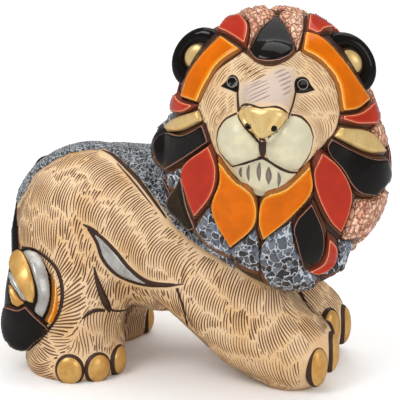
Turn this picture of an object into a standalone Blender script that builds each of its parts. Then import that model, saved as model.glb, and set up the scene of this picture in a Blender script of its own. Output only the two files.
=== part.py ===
"""A standing lion with its head turned to its right side: one slip-cast, carved and glazed ceramic figure.

Axes: x runs forwards along the body, y to the lion's left, z up. The sizes below are in the figure's own
unit, near a millimetre, and each mesh is brought to metres once, as it is made.
"""

import math

import bmesh
import bpy
import numpy as np
from mathutils import Matrix, Vector
from mathutils.bvhtree import BVHTree
from mathutils.geometry import delaunay_2d_cdt

FIGURE_HEIGHT = 0.120
OWN_HEIGHT = 117  # height of the forms below, in their own unit
UNIT = FIGURE_HEIGHT / OWN_HEIGHT
MIDDLE = Vector((1.2, -6.4, 0))  # middle of the footprint, which becomes the origin

MASS_STEP, MASS_PASSES = 1.0, 14  # grid that fuses the large forms, and how often they are softened
CARVE_STEP, CARVE_PASSES = 0.8, 2  # the same for the carving on them
KEPT_SHARE = 0.052  # of the fused skin's triangles

# Forms are chains of balls: (centre), (radii).
BALLS_BETWEEN = 6  # steps from one station of a chain to the next
LARGE_BALL = 12  # a ball with a radius above this has finer faces
TORSO = [
    ((-33, 0, 44), (26.6, 22, 23.3)),
    ((-12, 0, 41.5), (22, 22, 26)),
    ((8, 0, 43), (20, 20, 23)),
]
HIND_LEG = [
    ((-36.5, -9, 40), (19.5, 16, 21)),
    ((-36, -14, 27), (18, 15.5, 14)),
    ((-35.8, -16, 15), (15.3, 14.5, 10)),
    ((-35.5, -17.5, 4), (15.7, 15.5, 10.5)),
]
FORELEG = [
    ((-8, -10, 43), (17, 14, 18)),
    ((8, -12, 30), (16, 13.5, 17)),
    ((20, -13, 18.5), (15, 13, 15.5)),
    ((32.5, -13, 11.2), (13.7, 12.7, 14)),
]
SHOULDERS = [
    ((4, -1, 50), (20, 19, 18)),
    ((20, -6, 58), (22, 20, 20)),
]
CHEST = [
    ((27, -8, 50), (20, 20, 20)),
    ((35, -8, 43), (14, 16, 12)),
]
MANE = [
    ((26.7, -12, 68), (33.5, 25, 32)),
    ((26.4, -13, 85), (28.3, 26, 30.3)),
]
MANE_CUSHION = [((-2.1, -14, 72), (8, 9.5, 7.5))]
TAIL = [
    ((-51.2, 4, 57), (4.5, 4.5, 4.5)),
    ((-56.8, 2, 49), (4, 4, 4)),
    ((-56.6, -5.8, 38.8), (3.7, 3.7, 3.7)),
    ((-52.3, -16.5, 33), (4, 4, 4)),
]
TUFT = [
    ((-48.2, -22.8, 31.6), (6.5, 7, 8)),
    ((-46, -24.8, 24.6), (9.1, 9.7, 13)),
    ((-48.2, -22.8, 14.6), (8.8, 8, 9)),
]
FAR_HIND_BACK, FAR_FRONT_BACK = 3, 2  # the far paws stand this much further back than the near ones

# The head's own frame: a to the right as the face is seen, b up, c out of the face.
HEAD_CENTRE = Vector((28.5, -12, 84))
HEAD_TURN, HEAD_LIFT = math.radians(6), math.radians(7)
FACE = [((-1, 1, 6), (22, 23, 21.5))]
BRIDGE = [
    ((0, 17, 20), (8, 5, 6)),
    ((0, 8, 26), (6.8, 5, 6)),
    ((0.2, 3, 29), (5.5, 4, 5)),
]
NOSE = [
    ((0.2, 4.4, 31.8), (6.2, 2.4, 3)),
    ((0.2, -1.2, 33), (2.6, 2.4, 3)),
]
MUZZLE = [((6.9, -4.0, 25), (8, 8.4, 9))]
SNOUT = [((0, -4, 17), (15.5, 15, 14))]
CHEEK = [((14, -3, 15), (8, 10, 8))]
BROW = [
    ((5.5, 15.5, 23.5), (3, 2, 3)),
    ((12.5, 15, 21.5), (4, 2, 3.5)),
]
EYE = [((10.3, 12.0, 25.0), (2.3, 2.3, 2.3))]
CHIN = [((-0.6, -13.5, 23), (7, 6, 8))]
EAR_AT, EAR_SHIFT = (22.1, 16.4, 4), -2.3
EAR_TURN, EAR_LEAN = math.radians(12), math.radians(37)
EAR_STRETCH = 1.27  # along the ear, which leans in over the head
EAR_RADIUS, EAR_RIM = 5.8, 2
EAR_RIM_SIDES, EAR_RIM_FACETS = 28, 12
EAR_PLATE = ((0, 0, -1.5), (EAR_RADIUS, EAR_RADIUS, 2.2))
EAR_DISC = ((-0.9, 0, 0.6), (3.3, 3.1, 1.2))  # set out from the face

# Outlines are drawn on a front sheet of 400 squares, x to the right and y down, seen from SHEET_TURN and
# SHEET_LIFT at SHEET_AWAY from its middle, and thrown from there onto the skin.
SHEET_SQUARE, SHEET_HALF = 0.31, 200
SHEET_TURN, SHEET_LIFT, SHEET_AWAY = math.radians(16), math.radians(16), 700
SHEET_MIDDLE = Vector((0, 0, 52))
SHARP_TURN = math.radians(62)  # an outline keeps a corner that turns by more than this
PAD_STEP = 1.5  # spacing of a pad's points
PAD_CLEAR = 0.6  # of a step: how far the points inside a pad stay from its outline
PAD_SUNK = 2.5
LOCK_HEIGHT, LOCK_EDGE = 2.2, 2.0
GROOVE = 0.35  # left bare inside each outline

LOCKS = [
    [(277, 14), (260, 29), (248, 51), (257, 61), (270, 63), (284, 60), (294, 51), (290, 33)],
    [(237, 14), (247, 8), (262, 6), (277, 14), (259, 28), (247, 48), (250, 28), (246, 17)],
    [(279, 13), (291, 9), (304, 12), (303, 32), (298, 49), (289, 30)],
    [(216, 30), (228, 17), (241, 14), (249, 25), (246, 47), (236, 40), (226, 34)],
    [(308, 13), (322, 16), (341, 31), (324, 31), (319, 35), (306, 31)],
    [(221, 35), (241, 49), (220, 64), (206, 86), (198, 103), (180, 97), (188, 74), (203, 53)],
    [(305, 31), (320, 36), (342, 58), (360, 83), (371, 99), (358, 109), (342, 112), (335, 80), (318, 60),
     (302, 51)],
    [(178, 90), (180, 98), (198, 105), (184, 113), (171, 113), (170, 102)],
    [(341, 115), (360, 111), (376, 97), (382, 113), (377, 125), (357, 125), (341, 121)],
    [(198, 110), (202, 121), (180, 131), (167, 132), (164, 126), (172, 119)],
    [(341, 127), (371, 132), (388, 152), (372, 153), (334, 137)],
    [(204, 123), (210, 142), (184, 160), (166, 171), (156, 155), (156, 139), (166, 132), (182, 134)],
    [(331, 137), (352, 149), (374, 158), (388, 158), (391, 178), (376, 197), (358, 193), (341, 170),
     (326, 147)],
    [(210, 143), (218, 168), (214, 193), (195, 219), (186, 196), (181, 170)],
    [(319, 151), (326, 153), (352, 190), (350, 212), (341, 234), (328, 220), (312, 172)],
    [(217, 155), (235, 179), (253, 193), (256, 223), (230, 249), (211, 208), (219, 180)],
    [(310, 163), (313, 190), (295, 214), (263, 241), (258, 222), (264, 196), (284, 187)],
    [(312, 201), (325, 236), (320, 261), (303, 271), (296, 244), (293, 226)],
    [(328, 234), (338, 248), (334, 266), (318, 275), (305, 271), (322, 261)],
    [(383, 112), (389, 130), (390, 150), (373, 131)],
    [(389, 188), (383, 215), (365, 235), (343, 240), (348, 224), (357, 200), (375, 199)],
]
SHOULDER_LOCK = [(182, 172), (189, 207), (196, 228), (188, 232), (165, 203), (176, 190)]
CHEST_TUFTS = [
    [(207, 209), (219, 231), (232, 258), (210, 247), (194, 229)],
    [(230, 252), (255, 231), (259, 254), (258, 273), (238, 264)],
    [(262, 246), (291, 223), (297, 254), (318, 280), (310, 294), (290, 294), (266, 281)],
]
TUFT_CAP = [(22, 247), (46, 257), (61, 273), (62, 290), (60, 312), (50, 328), (27, 306), (5, 318),
            (8, 273), (12, 258)]
TUFT_TIP = [(27, 307), (49, 329), (42, 340), (31, 349), (20, 349), (10, 345), (3, 330), (4, 320)]
FLANK_LEAF = [(87, 227), (102, 237), (115, 250), (132, 270), (148, 281), (176, 285), (151, 286),
              (132, 282), (115, 274), (102, 259), (96, 242)]
CHEST_TUFT_HEIGHT = 1.4
LEAF_HEIGHT, LEAF_EDGE = 1.1, 1.2

# Locks on the back of the mane, in rings round the way the sheet is seen: angle from it, how many, size.
BACK_RINGS = [(106, 13, 20), (128, 11, 21), (150, 7, 22), (172, 3, 18)]
BACK_LOWEST = 52  # no lock of the back starts below this
BACK_WIDTH = 0.64  # of a lock's length
BACK_SHAPE = [(0, -0.5), (0.42, -0.1), (0.5, 0.25), (0.2, 0.5)]  # half a lock, in shares of width and length
BACK_SWEEP = 0.6  # how much the locks point away from the crown, besides down
BACK_OUTSIDE, BACK_HOVER = 80, 12  # how far off the skin is sought for a lock and for its points

# Claws: degrees round the front of a paw and height above the ground, how far they are set in from the
# paw's sides, and their radii.
PAW_CLAWS, PAW_SET_IN, PAW_CLAW_RADII = ((-38, 8.5), (0, 11), (38, 12)), 0, (2.4, 3.6, 6.2)
HIND_CLAWS, HIND_SET_IN, HIND_CLAW_RADII = ((-78, 4), (-44, 4), (-10, 4.5)), 0.5, (2.6, 4.3, 5)

CLAY_COLOUR, CLAY_ROUGHNESS = (0.72, 0.55, 0.36, 1), 0.4


def head_frame():
    turn, lift = HEAD_TURN, HEAD_LIFT
    out = Vector((math.sin(turn) * math.cos(lift), -math.cos(turn) * math.cos(lift), math.sin(lift)))
    right = Vector((math.cos(turn), math.sin(turn), 0))
    up = out.cross(right)
    frame = Matrix((right, up, out)).transposed().to_4x4()
    frame.translation = HEAD_CENTRE
    return frame


BODY = Matrix.Identity(4)
HEAD = head_frame()


def ball(bm, centre, radii, frame=BODY):
    steps = 4 if max(radii) > LARGE_BALL else 3
    placed = frame @ Matrix.Translation(centre) @ Matrix.Diagonal((*radii, 1))
    bmesh.ops.create_icosphere(bm, subdivisions=steps, radius=1, matrix=placed)


def chain(bm, stations, frame=BODY, mirror=None):
    """Balls that grow from each station to the next. mirror 0 or 1 turns the sign of that coordinate."""
    ends = list(zip(stations, stations[1:])) or [(stations[0], stations[0])]
    for (start, start_radii), (end, end_radii) in ends:
        for i in range(BALLS_BETWEEN + 1):
            share = i / BALLS_BETWEEN
            centre = Vector(start).lerp(Vector(end), share)
            if mirror is not None:
                centre[mirror] = -centre[mirror]
            ball(bm, centre, Vector(start_radii).lerp(Vector(end_radii), share), frame)
            if start == end:
                break


def ring(bm, frame, radius, rim):
    """A round rim in the frame's a, b plane."""
    sides, facets = EAR_RIM_SIDES, EAR_RIM_FACETS
    rows = []
    for i in range(sides):
        turn = Matrix.Rotation(math.tau * i / sides, 4, "Z")
        angles = [math.tau * j / facets for j in range(facets)]
        spokes = [(radius + rim * math.cos(angle), 0, rim * math.sin(angle)) for angle in angles]
        rows.append([bm.verts.new(frame @ turn @ Vector(spoke)) for spoke in spokes])
    for i in range(sides):
        here, there = rows[i], rows[(i + 1) % sides]
        for j in range(facets):
            k = (j + 1) % facets
            bm.faces.new((here[j], there[j], there[k], here[k]))


def claws(bm, paw, set_in, places, radii, side):
    """Claws round the front of a paw, which is the last station of a leg."""
    centre, paw_radii = paw
    for angle, height in places:
        a = math.radians(angle)
        at = Vector((centre[0] + (paw_radii[0] - set_in) * math.cos(a),
                     centre[1] + (paw_radii[1] - set_in) * math.sin(a), height))
        turn = Matrix.Translation(at) @ Matrix.Rotation(a, 4, "Z")
        ball(bm, (0, 0, 0), radii, Matrix.Diagonal((1, -side, 1, 1)) @ turn)


def sheet_axes():
    """The sheet's right, its up and the way back to where it is seen from."""
    turn, lift = SHEET_TURN, SHEET_LIFT
    back = Vector((math.sin(turn) * math.cos(lift), -math.cos(turn) * math.cos(lift), math.sin(lift)))
    right = Vector((math.cos(turn), math.sin(turn), 0))
    return right, back.cross(right), back


def sheet_ray(point):
    """Where the sheet is seen from, and the way from there through one of its squares."""
    right, up, back = sheet_axes()
    eye = SHEET_MIDDLE + back * SHEET_AWAY
    across, above = point[0] - SHEET_HALF, SHEET_HALF - point[1]
    on_sheet = SHEET_MIDDLE + (right * across + up * above) * SHEET_SQUARE
    return eye, (on_sheet - eye).normalized()


def thrown(skin, point):
    """A point of the sheet on the skin, with the skin's normal there."""
    eye, way = sheet_ray(point)
    place, normal = skin.ray_cast(eye, way)[:2]
    if place is None:
        near = eye + way * (HEAD_CENTRE - eye).dot(way)
        place, normal = skin.find_nearest(near)[:2]
    return place, normal


def rounded(outline, step):
    """The outline as a closed run of points, smooth between its sharp corners."""
    count = len(outline)
    points = [Vector(p) for p in outline]
    sharp = []
    for i in range(count):
        before, after = points[i] - points[i - 1], points[(i + 1) % count] - points[i]
        sharp.append(abs(before.angle_signed(after)) > SHARP_TURN)
    run = []
    for i in range(count):
        start, end = points[i], points[(i + 1) % count]
        side = end - start
        first = start - points[i - 1] if not sharp[i] else side
        last = points[(i + 2) % count] - end if not sharp[(i + 1) % count] else side
        leave = (first.normalized() + side.normalized()).normalized() * side.length
        arrive = (last.normalized() + side.normalized()).normalized() * side.length
        pieces = max(1, round(side.length / step))
        for k in range(pieces):
            t = k / pieces
            run.append(start * (2 * t**3 - 3 * t**2 + 1) + leave * (t**3 - 2 * t**2 + t)
                       + end * (3 * t**2 - 2 * t**3) + arrive * (t**3 - t**2))
    return run


def inset(outline, by):
    """The outline drawn in on all sides."""
    turned = sum(a.x * b.y - b.x * a.y for a, b in zip(outline, outline[1:] + outline[:1]))
    moved = []
    for i, point in enumerate(outline):
        along = (outline[(i + 1) % len(outline)] - outline[i - 1]).normalized()
        inwards = Vector((-along.y, along.x)) * math.copysign(by, turned)
        moved.append(point + inwards)
    return moved


def depth_inside(points, outline):
    """How far each point is from the nearest side of the outline."""
    p = np.array([tuple(v) for v in points])[:, None]
    a = np.array([tuple(v) for v in outline])[None]
    d = np.roll(a, -1, axis=1) - a
    t = np.clip(((p - a) * d).sum(2) / (d * d).sum(2), 0, 1)
    return np.sqrt(((p - a - d * t[..., None]) ** 2).sum(2)).min(1)


def filled(outline, step):
    """Triangles that fill an outline, its points first and then a grid inside it."""
    low = [min(p[i] for p in outline) for i in (0, 1)]
    high = [max(p[i] for p in outline) for i in (0, 1)]
    rows = np.arange(low[1], high[1], step)
    grid = [Vector((x, y)) for x in np.arange(low[0], high[0], step) for y in rows]
    depths = depth_inside(grid, outline) if grid else []
    grid = [p for p, depth in zip(grid, depths) if depth > step * PAD_CLEAR]
    edges = [(i, (i + 1) % len(outline)) for i in range(len(outline))]
    points, _, faces, *_ = delaunay_2d_cdt(outline + grid, edges, [], 1, 1e-6)
    used = sorted({i for face in faces for i in face})
    index = {old: new for new, old in enumerate(used)}
    return [points[i] for i in used], [[index[i] for i in face] for face in faces]


def pad(bm, outline, place, square, height, edge):
    """A raised pad: the outline filled, thrown onto the skin and swelled, with a skirt sunk into it."""
    around = inset(rounded(outline, PAD_STEP / square), GROOVE / square)
    points, faces = filled(around, PAD_STEP / square)
    depths = depth_inside(points, around) * square
    tops, roots = [], []
    for point, depth in zip(points, depths):
        at, normal = place(point)
        rise = math.sqrt(1 - (1 - min(depth / edge, 1)) ** 2) * height
        tops.append(bm.verts.new(at + normal * rise))
        roots.append(bm.verts.new(at - normal * PAD_SUNK))
    border = {}
    for a, b, c in faces:
        bm.faces.new((tops[a], tops[b], tops[c]))
        bm.faces.new((roots[c], roots[b], roots[a]))
        for one, two in ((a, b), (b, c), (c, a)):
            border[one, two] = (two, one) not in border
            if not border[one, two]:
                border[two, one] = False
    for (one, two), alone in border.items():
        if alone:
            bm.faces.new((tops[two], tops[one], roots[one], roots[two]))


def back_shape(length):
    """The outline of a lock of the back, point downwards."""
    half = [(across * length * BACK_WIDTH, along * length) for across, along in BACK_SHAPE]
    return half + [(-x, y) for x, y in reversed(half[1:])]


def back_locks(bm, skin):
    """Rings of locks on the back of the mane."""
    axes = Matrix(sheet_axes()).transposed()
    for number, (from_axis, count, length) in enumerate(BACK_RINGS):
        for i in range(count):
            around = math.tau * (i + 0.5 * (number % 2)) / count
            tilt = math.radians(from_axis)
            spread = math.sin(tilt)
            out = axes @ Vector((spread * math.cos(around), spread * math.sin(around), math.cos(tilt)))
            at, normal = skin.ray_cast(HEAD_CENTRE + out * BACK_OUTSIDE, -out)[:2]
            if at is None or at.z < BACK_LOWEST:
                continue
            down = Vector((0, 0, -1)) + normal * normal.z - axes @ Vector((0, 0, 1)) * BACK_SWEEP
            down = (down - normal * down.dot(normal)).normalized()
            across = normal.cross(down)

            def on_skin(point, at=at, normal=normal, down=down, across=across):
                start = at + across * point[0] - down * point[1] + normal * BACK_HOVER
                place, bend = skin.ray_cast(start, -normal)[:2]
                return (place, bend) if place is not None else skin.find_nearest(start)[:2]

            pad(bm, back_shape(length), on_skin, 1, LOCK_HEIGHT, LOCK_EDGE)


def fused(name, forms, step, passes):
    """An object of the forms, fused on a grid and softened by modifiers."""
    mesh = bpy.data.meshes.new(name)
    forms.to_mesh(mesh)
    obj = bpy.data.objects.new(name, mesh)
    bpy.context.scene.collection.objects.link(obj)
    fuse = obj.modifiers.new("fuse", "REMESH")
    fuse.mode = "VOXEL"
    fuse.voxel_size = step
    soften = obj.modifiers.new("soften", "SMOOTH")
    soften.iterations = passes
    return obj


def masses_of(*makers):
    """The large forms as one softened mesh, and a search tree of it."""
    forms = bmesh.new()
    for make in makers:
        make(forms)
    obj = fused("masses", forms, MASS_STEP, MASS_PASSES)
    graph = bpy.context.evaluated_depsgraph_get()
    mesh = bpy.data.meshes.new_from_object(obj.evaluated_get(graph))
    skin = BVHTree.FromObject(obj, graph)
    bpy.data.objects.remove(obj)
    return mesh, skin


def legs_of(side):
    """The stations of a hind leg and a foreleg. side -1 is the lion's right."""
    legs = []
    for leg, back in ((HIND_LEG, FAR_HIND_BACK), (FORELEG, FAR_FRONT_BACK)):
        shift = Vector((back, 0, 0)) * (side > 0) / (len(leg) - 1)
        legs.append([(Vector(at) - shift * i, radii) for i, (at, radii) in enumerate(leg)])
    return legs


def body_masses(bm):
    chain(bm, TORSO)
    chain(bm, SHOULDERS)
    for side in (-1, 1):
        for leg in legs_of(side):
            chain(bm, leg, mirror=1 if side > 0 else None)


def tuft_mass(bm):
    chain(bm, TUFT)


def head_masses(bm):
    chain(bm, CHEST)
    chain(bm, MANE)
    chain(bm, MANE_CUSHION)
    for form in (FACE, SNOUT, BRIDGE, CHIN):
        chain(bm, form, HEAD)
    for form in (MUZZLE, CHEEK):
        chain(bm, form, HEAD)
        chain(bm, form, HEAD, mirror=0)


def toes(bm):
    for side in (-1, 1):
        hind, fore = legs_of(side)
        claws(bm, hind[-1], HIND_SET_IN, HIND_CLAWS, HIND_CLAW_RADII, side)
        claws(bm, fore[-1], PAW_SET_IN, PAW_CLAWS, PAW_CLAW_RADII, side)


def face_details(bm):
    for form in (BROW, EYE):
        chain(bm, form, HEAD)
        chain(bm, form, HEAD, mirror=0)
    chain(bm, NOSE, HEAD)


def ears(bm):
    for side in (-1, 1):
        at = Vector((side * EAR_AT[0] + EAR_SHIFT, EAR_AT[1], EAR_AT[2]))
        turned = Matrix.Rotation(EAR_TURN * side, 4, "Y") @ Matrix.Rotation(EAR_LEAN * side, 4, "Z")
        ear = HEAD @ Matrix.Translation(at) @ turned @ Matrix.Diagonal((1, EAR_STRETCH, 1, 1))
        ring(bm, ear, EAR_RADIUS, EAR_RIM)
        for (across, above, out), radii in (EAR_PLATE, EAR_DISC):
            ball(bm, (-side * across, above, out), radii, ear)


def raised(bm, outlines, skin, height, edge=LOCK_EDGE):
    """Pads of that height on the skin, one in each outline of the sheet."""
    for outline in outlines:
        pad(bm, outline, lambda point: thrown(skin, point), SHEET_SQUARE, height, edge)


def lion():
    figure = bmesh.new()
    whole, skin = masses_of(body_masses, tuft_mass, head_masses)
    figure.from_mesh(whole)
    chain(figure, TAIL)
    toes(figure)
    face_details(figure)
    ears(figure)
    raised(figure, (SHOULDER_LOCK,), skin, CHEST_TUFT_HEIGHT)
    _, head = masses_of(head_masses)
    raised(figure, LOCKS, head, LOCK_HEIGHT)
    raised(figure, CHEST_TUFTS, head, CHEST_TUFT_HEIGHT)
    back_locks(figure, head)
    _, tuft = masses_of(tuft_mass)
    raised(figure, (TUFT_CAP, TUFT_TIP), tuft, LOCK_HEIGHT)
    _, body = masses_of(body_masses)
    raised(figure, (FLANK_LEAF,), body, LEAF_HEIGHT, LEAF_EDGE)
    figure.transform(Matrix.Scale(UNIT, 4) @ Matrix.Translation(-MIDDLE))
    obj = fused("lion", figure, CARVE_STEP * UNIT, CARVE_PASSES)
    thin = obj.modifiers.new("thin", "DECIMATE")
    thin.ratio = KEPT_SHARE
    level = obj.modifiers.new("level soles", "BOOLEAN")
    level.object = ground()
    obj.data.materials.append(glazed_clay())
    return obj


def glazed_clay():
    clay = bpy.data.materials.new("glazed clay")
    clay.use_nodes = True
    shader = clay.node_tree.nodes["Principled BSDF"]
    shader.inputs["Base Color"].default_value = CLAY_COLOUR
    shader.inputs["Roughness"].default_value = CLAY_ROUGHNESS
    return clay


def ground():
    """A cutter whose top is the surface the figure stands on."""
    bm = bmesh.new()
    reach = 2 * FIGURE_HEIGHT
    placed = Matrix.Translation((0, 0, -reach / 2)) @ Matrix.Scale(reach, 4)
    bmesh.ops.create_cube(bm, size=1, matrix=placed)
    mesh = bpy.data.meshes.new("ground")
    bm.to_mesh(mesh)
    obj = bpy.data.objects.new("ground", mesh)
    obj.hide_render = True
    obj.display_type = "WIRE"
    bpy.context.scene.collection.objects.link(obj)
    return obj


def main():
    for obj in list(bpy.data.objects):
        bpy.data.objects.remove(obj)
    lion()


main()
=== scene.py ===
import math
import random

import bmesh
import bpy
import numpy as np
from mathutils import Matrix, Vector, noise
from mathutils.bvhtree import BVHTree
from mathutils.geometry import delaunay_2d_cdt
from mathutils.interpolate import poly_3d_calc


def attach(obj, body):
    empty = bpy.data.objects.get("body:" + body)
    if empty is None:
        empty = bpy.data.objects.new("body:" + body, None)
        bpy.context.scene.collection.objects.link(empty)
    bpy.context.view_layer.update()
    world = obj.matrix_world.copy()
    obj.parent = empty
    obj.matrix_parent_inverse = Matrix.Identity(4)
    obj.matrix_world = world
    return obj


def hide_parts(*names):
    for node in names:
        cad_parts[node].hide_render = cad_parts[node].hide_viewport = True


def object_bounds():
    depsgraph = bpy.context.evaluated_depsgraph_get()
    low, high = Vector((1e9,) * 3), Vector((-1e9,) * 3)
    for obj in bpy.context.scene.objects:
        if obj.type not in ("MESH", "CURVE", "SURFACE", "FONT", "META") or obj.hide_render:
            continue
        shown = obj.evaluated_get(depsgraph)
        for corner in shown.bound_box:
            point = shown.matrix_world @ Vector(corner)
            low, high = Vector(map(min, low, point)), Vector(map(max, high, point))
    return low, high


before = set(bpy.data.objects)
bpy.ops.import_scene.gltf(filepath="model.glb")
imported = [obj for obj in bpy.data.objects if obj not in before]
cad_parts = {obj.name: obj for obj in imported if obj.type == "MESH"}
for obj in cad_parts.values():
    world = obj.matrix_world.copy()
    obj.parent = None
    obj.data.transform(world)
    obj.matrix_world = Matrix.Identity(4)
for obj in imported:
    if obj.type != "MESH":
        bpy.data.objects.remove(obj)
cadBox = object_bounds()

# Everything is drawn in the figure's own unit, near a millimetre, and brought to metres as it is finished.
figure = {"ownHeight": 116.656, "middle": (1.2, -6.4, 0)}
unit = cadBox[1].z / figure["ownHeight"]
toMetres = Matrix.Scale(unit, 4) @ Matrix.Translation(-Vector(figure["middle"]))

# Outlines are drawn on a front sheet of 400 squares, x to the right and y down, and thrown onto the forms
# from where the sheet is seen. The camera stands there too.
sheet = {"square": 0.31, "half": 200, "turn": 16, "lift": 16, "away": 700, "middle": (0, 0, 52)}


def facing(view):
    # The ways right, up and out of what is turned and lifted from facing along -y.
    turn, lift = math.radians(view["turn"]), math.radians(view["lift"])
    out = Vector((math.sin(turn) * math.cos(lift), -math.cos(turn) * math.cos(lift), math.sin(lift)))
    right = Vector((math.cos(turn), math.sin(turn), 0))
    return right, out.cross(right), out


sheetRight, sheetUp, sheetBack = facing(sheet)
sheetMiddle = Vector(sheet["middle"])
eye = sheetMiddle + sheetBack * sheet["away"]


def onSheet(points):
    # The sheet squares that points of the figure are seen in.
    away = np.asarray(points) - np.array(sheetMiddle)
    scale = sheet["away"] / (sheet["away"] - away @ np.array(sheetBack)) / sheet["square"]
    across = away @ np.array(sheetRight) * scale
    up = away @ np.array(sheetUp) * scale
    return np.stack([sheet["half"] + across, sheet["half"] - up], axis=1)


def sheetWay(point):
    x, y = (point[0] - sheet["half"]) * sheet["square"], (sheet["half"] - point[1]) * sheet["square"]
    return (sheetMiddle + sheetRight * x + sheetUp * y - eye).normalized()


# The forms, as chains of balls: centre, radii.
bodyForms = {
    "torso": [((-33, 0, 44), (26.6, 22, 23.3)), ((-12, 0, 41.5), (22, 22, 26)), ((8, 0, 43), (20, 20, 23))],
    "shoulders": [((4, -1, 50), (20, 19, 18)), ((20, -6, 58), (22, 20, 20))],
    "hindLeg": [
        ((-36.5, -9, 40), (19.5, 16, 21)), ((-36, -14, 27), (18, 15.5, 14)),
        ((-35.8, -16, 15), (15.3, 14.5, 10)), ((-35.5, -17.5, 4), (15.7, 15.5, 10.5)),
    ],
    "foreleg": [
        ((-8, -10, 43), (17, 14, 18)), ((8, -12, 30), (16, 13.5, 17)), ((20, -13, 18.5), (15, 13, 15.5)),
        ((32.5, -13, 11.2), (13.7, 12.7, 14)),
    ],
    "hindBack": 3, "frontBack": 2,
}
headForms = {
    "centre": (28.5, -12, 84), "turn": 6, "lift": 7,
    "chest": [((27, -8, 50), (20, 20, 20)), ((35, -8, 43), (14, 16, 12))],
    "mane": [((26.7, -12, 68), (33.5, 25, 32)), ((26.4, -13, 85), (28.3, 26, 30.3))],
    "cushion": [((-2.1, -14, 72), (8, 9.5, 7.5))],
    # From here in the head's own frame: right as the face is seen, up, out of the face.
    "face": [((-1, 1, 6), (22, 23, 21.5))],
    "snout": [((0, -4, 17), (15.5, 15, 14))],
    "bridge": [((0, 17, 20), (8, 5, 6)), ((0, 8, 26), (6.8, 5, 6)), ((0.2, 3, 29), (5.5, 4, 5))],
    "chin": [((-0.6, -13.5, 23), (7, 6, 8))],
    "muzzle": [((6.9, -4.0, 25), (8, 8.4, 9))],
    "cheek": [((14, -3, 15), (8, 10, 8))],
    "nose": [((0.2, 4.4, 31.8), (6.2, 2.4, 3)), ((0.2, -1.2, 33), (2.6, 2.4, 3))],
}
tailForms = {
    "tail": [
        ((-51.2, 4, 57), (4.5, 4.5, 4.5)), ((-56.8, 2, 49), (4, 4, 4)),
        ((-56.6, -5.8, 38.8), (3.7, 3.7, 3.7)), ((-52.3, -16.5, 33), (4, 4, 4)),
    ],
    "tuft": [
        ((-48.2, -22.8, 31.6), (6.5, 7, 8)), ((-46, -24.8, 24.6), (9.1, 9.7, 13)),
        ((-48.2, -22.8, 14.6), (8.8, 8, 9)),
    ],
}
earForms = {"at": (22.1, 16.4, 4), "shift": -2.3, "turn": 12, "lean": 37, "stretch": 1.27,
            "radius": 5.8, "rim": 2, "plate": ((0, 0, -1.5), (5.8, 5.8, 2.2)),
            "bed": ((0.9, 0, 0.2), (4.0, 3.9, 1.4)), "disc": ((0.9, 0, 0.7), (3.3, 3.1, 1.5))}
# Softening is for a grid of 1 and grows as the grid gets finer.
fusing = {"grid": 0.5, "bodyGrid": 0.64, "tailGrid": 0.4, "softening": 14, "detailSoftening": 1.5,
          "tailSoftening": 1, "between": 6}


head = Matrix(facing(headForms)).transposed().to_4x4()
head.translation = headForms["centre"]
upright = Matrix.Identity(4)


def ball(bm, centre, radii, placed=upright, steps=4):
    matrix = placed @ Matrix.Translation(centre) @ Matrix.Diagonal((*radii, 1))
    return bmesh.ops.create_icosphere(bm, subdivisions=steps, radius=1, matrix=matrix)["verts"]


def linked(name, data):
    made = bpy.data.objects.new(name, data)
    bpy.context.scene.collection.objects.link(made)
    return made


def evaluated(made):
    # An object's mesh with its modifiers applied. The object goes.
    mesh = bpy.data.meshes.new_from_object(made.evaluated_get(bpy.context.evaluated_depsgraph_get()))
    bpy.data.objects.remove(made)
    return mesh


def chain(bm, stations, placed=upright, mirror=None):
    # Balls that grow from each station to the next. mirror turns the sign of coordinate 0 or 1.
    between = fusing["between"] if len(stations) > 1 else 0
    for i in range((len(stations) - 1) * between + 1):
        spot = i / between if between else 0
        first = min(int(spot), max(len(stations) - 2, 0))
        (start, startRadii), (end, endRadii) = stations[first], stations[min(first + 1, len(stations) - 1)]
        centre = Vector(start).lerp(Vector(end), spot - first)
        if mirror is not None:
            centre[mirror] = -centre[mirror]
        ball(bm, centre, Vector(startRadii).lerp(Vector(endRadii), spot - first), placed)


def legStations(side):
    legs = []
    for kind, far in (("hindLeg", "hindBack"), ("foreleg", "frontBack")):
        leg = bodyForms[kind]
        back = Vector((bodyForms[far], 0, 0)) * (side > 0) / (len(leg) - 1)
        legs.append([(Vector(at) - back * i, radii) for i, (at, radii) in enumerate(leg)])
    return legs


def bodyMasses(bm):
    chain(bm, bodyForms["torso"])
    chain(bm, bodyForms["shoulders"])
    for side in (-1, 1):
        for leg in legStations(side):
            chain(bm, leg, mirror=1 if side > 0 else None)


def headMasses(bm):
    chain(bm, headForms["chest"])
    chain(bm, headForms["mane"])
    chain(bm, headForms["cushion"])
    for form in ("face", "snout", "bridge", "chin"):
        chain(bm, headForms[form], head)
    for form in ("muzzle", "cheek"):
        chain(bm, headForms[form], head)
        chain(bm, headForms[form], head, mirror=0)


def headDetails(bm):
    chain(bm, headForms["nose"], head)


def tuftMass(bm):
    chain(bm, tailForms["tuft"])


def tailMass(bm):
    chain(bm, tailForms["tail"])


def fused(make, grid=fusing["grid"], softening=fusing["softening"], start=None):
    # The forms as one skin: fused on a grid, then softened.
    bm = bmesh.new()
    if start:
        bm.from_mesh(start)
    make(bm)
    mesh = bpy.data.meshes.new("forms")
    bm.to_mesh(mesh)
    bm.free()
    made = linked("forms", mesh)
    fuse = made.modifiers.new("fuse", "REMESH")
    fuse.mode = "VOXEL"
    fuse.voxel_size = grid
    soften = made.modifiers.new("soften", "SMOOTH")
    soften.iterations = round(softening / grid**2)
    return evaluated(made)


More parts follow.
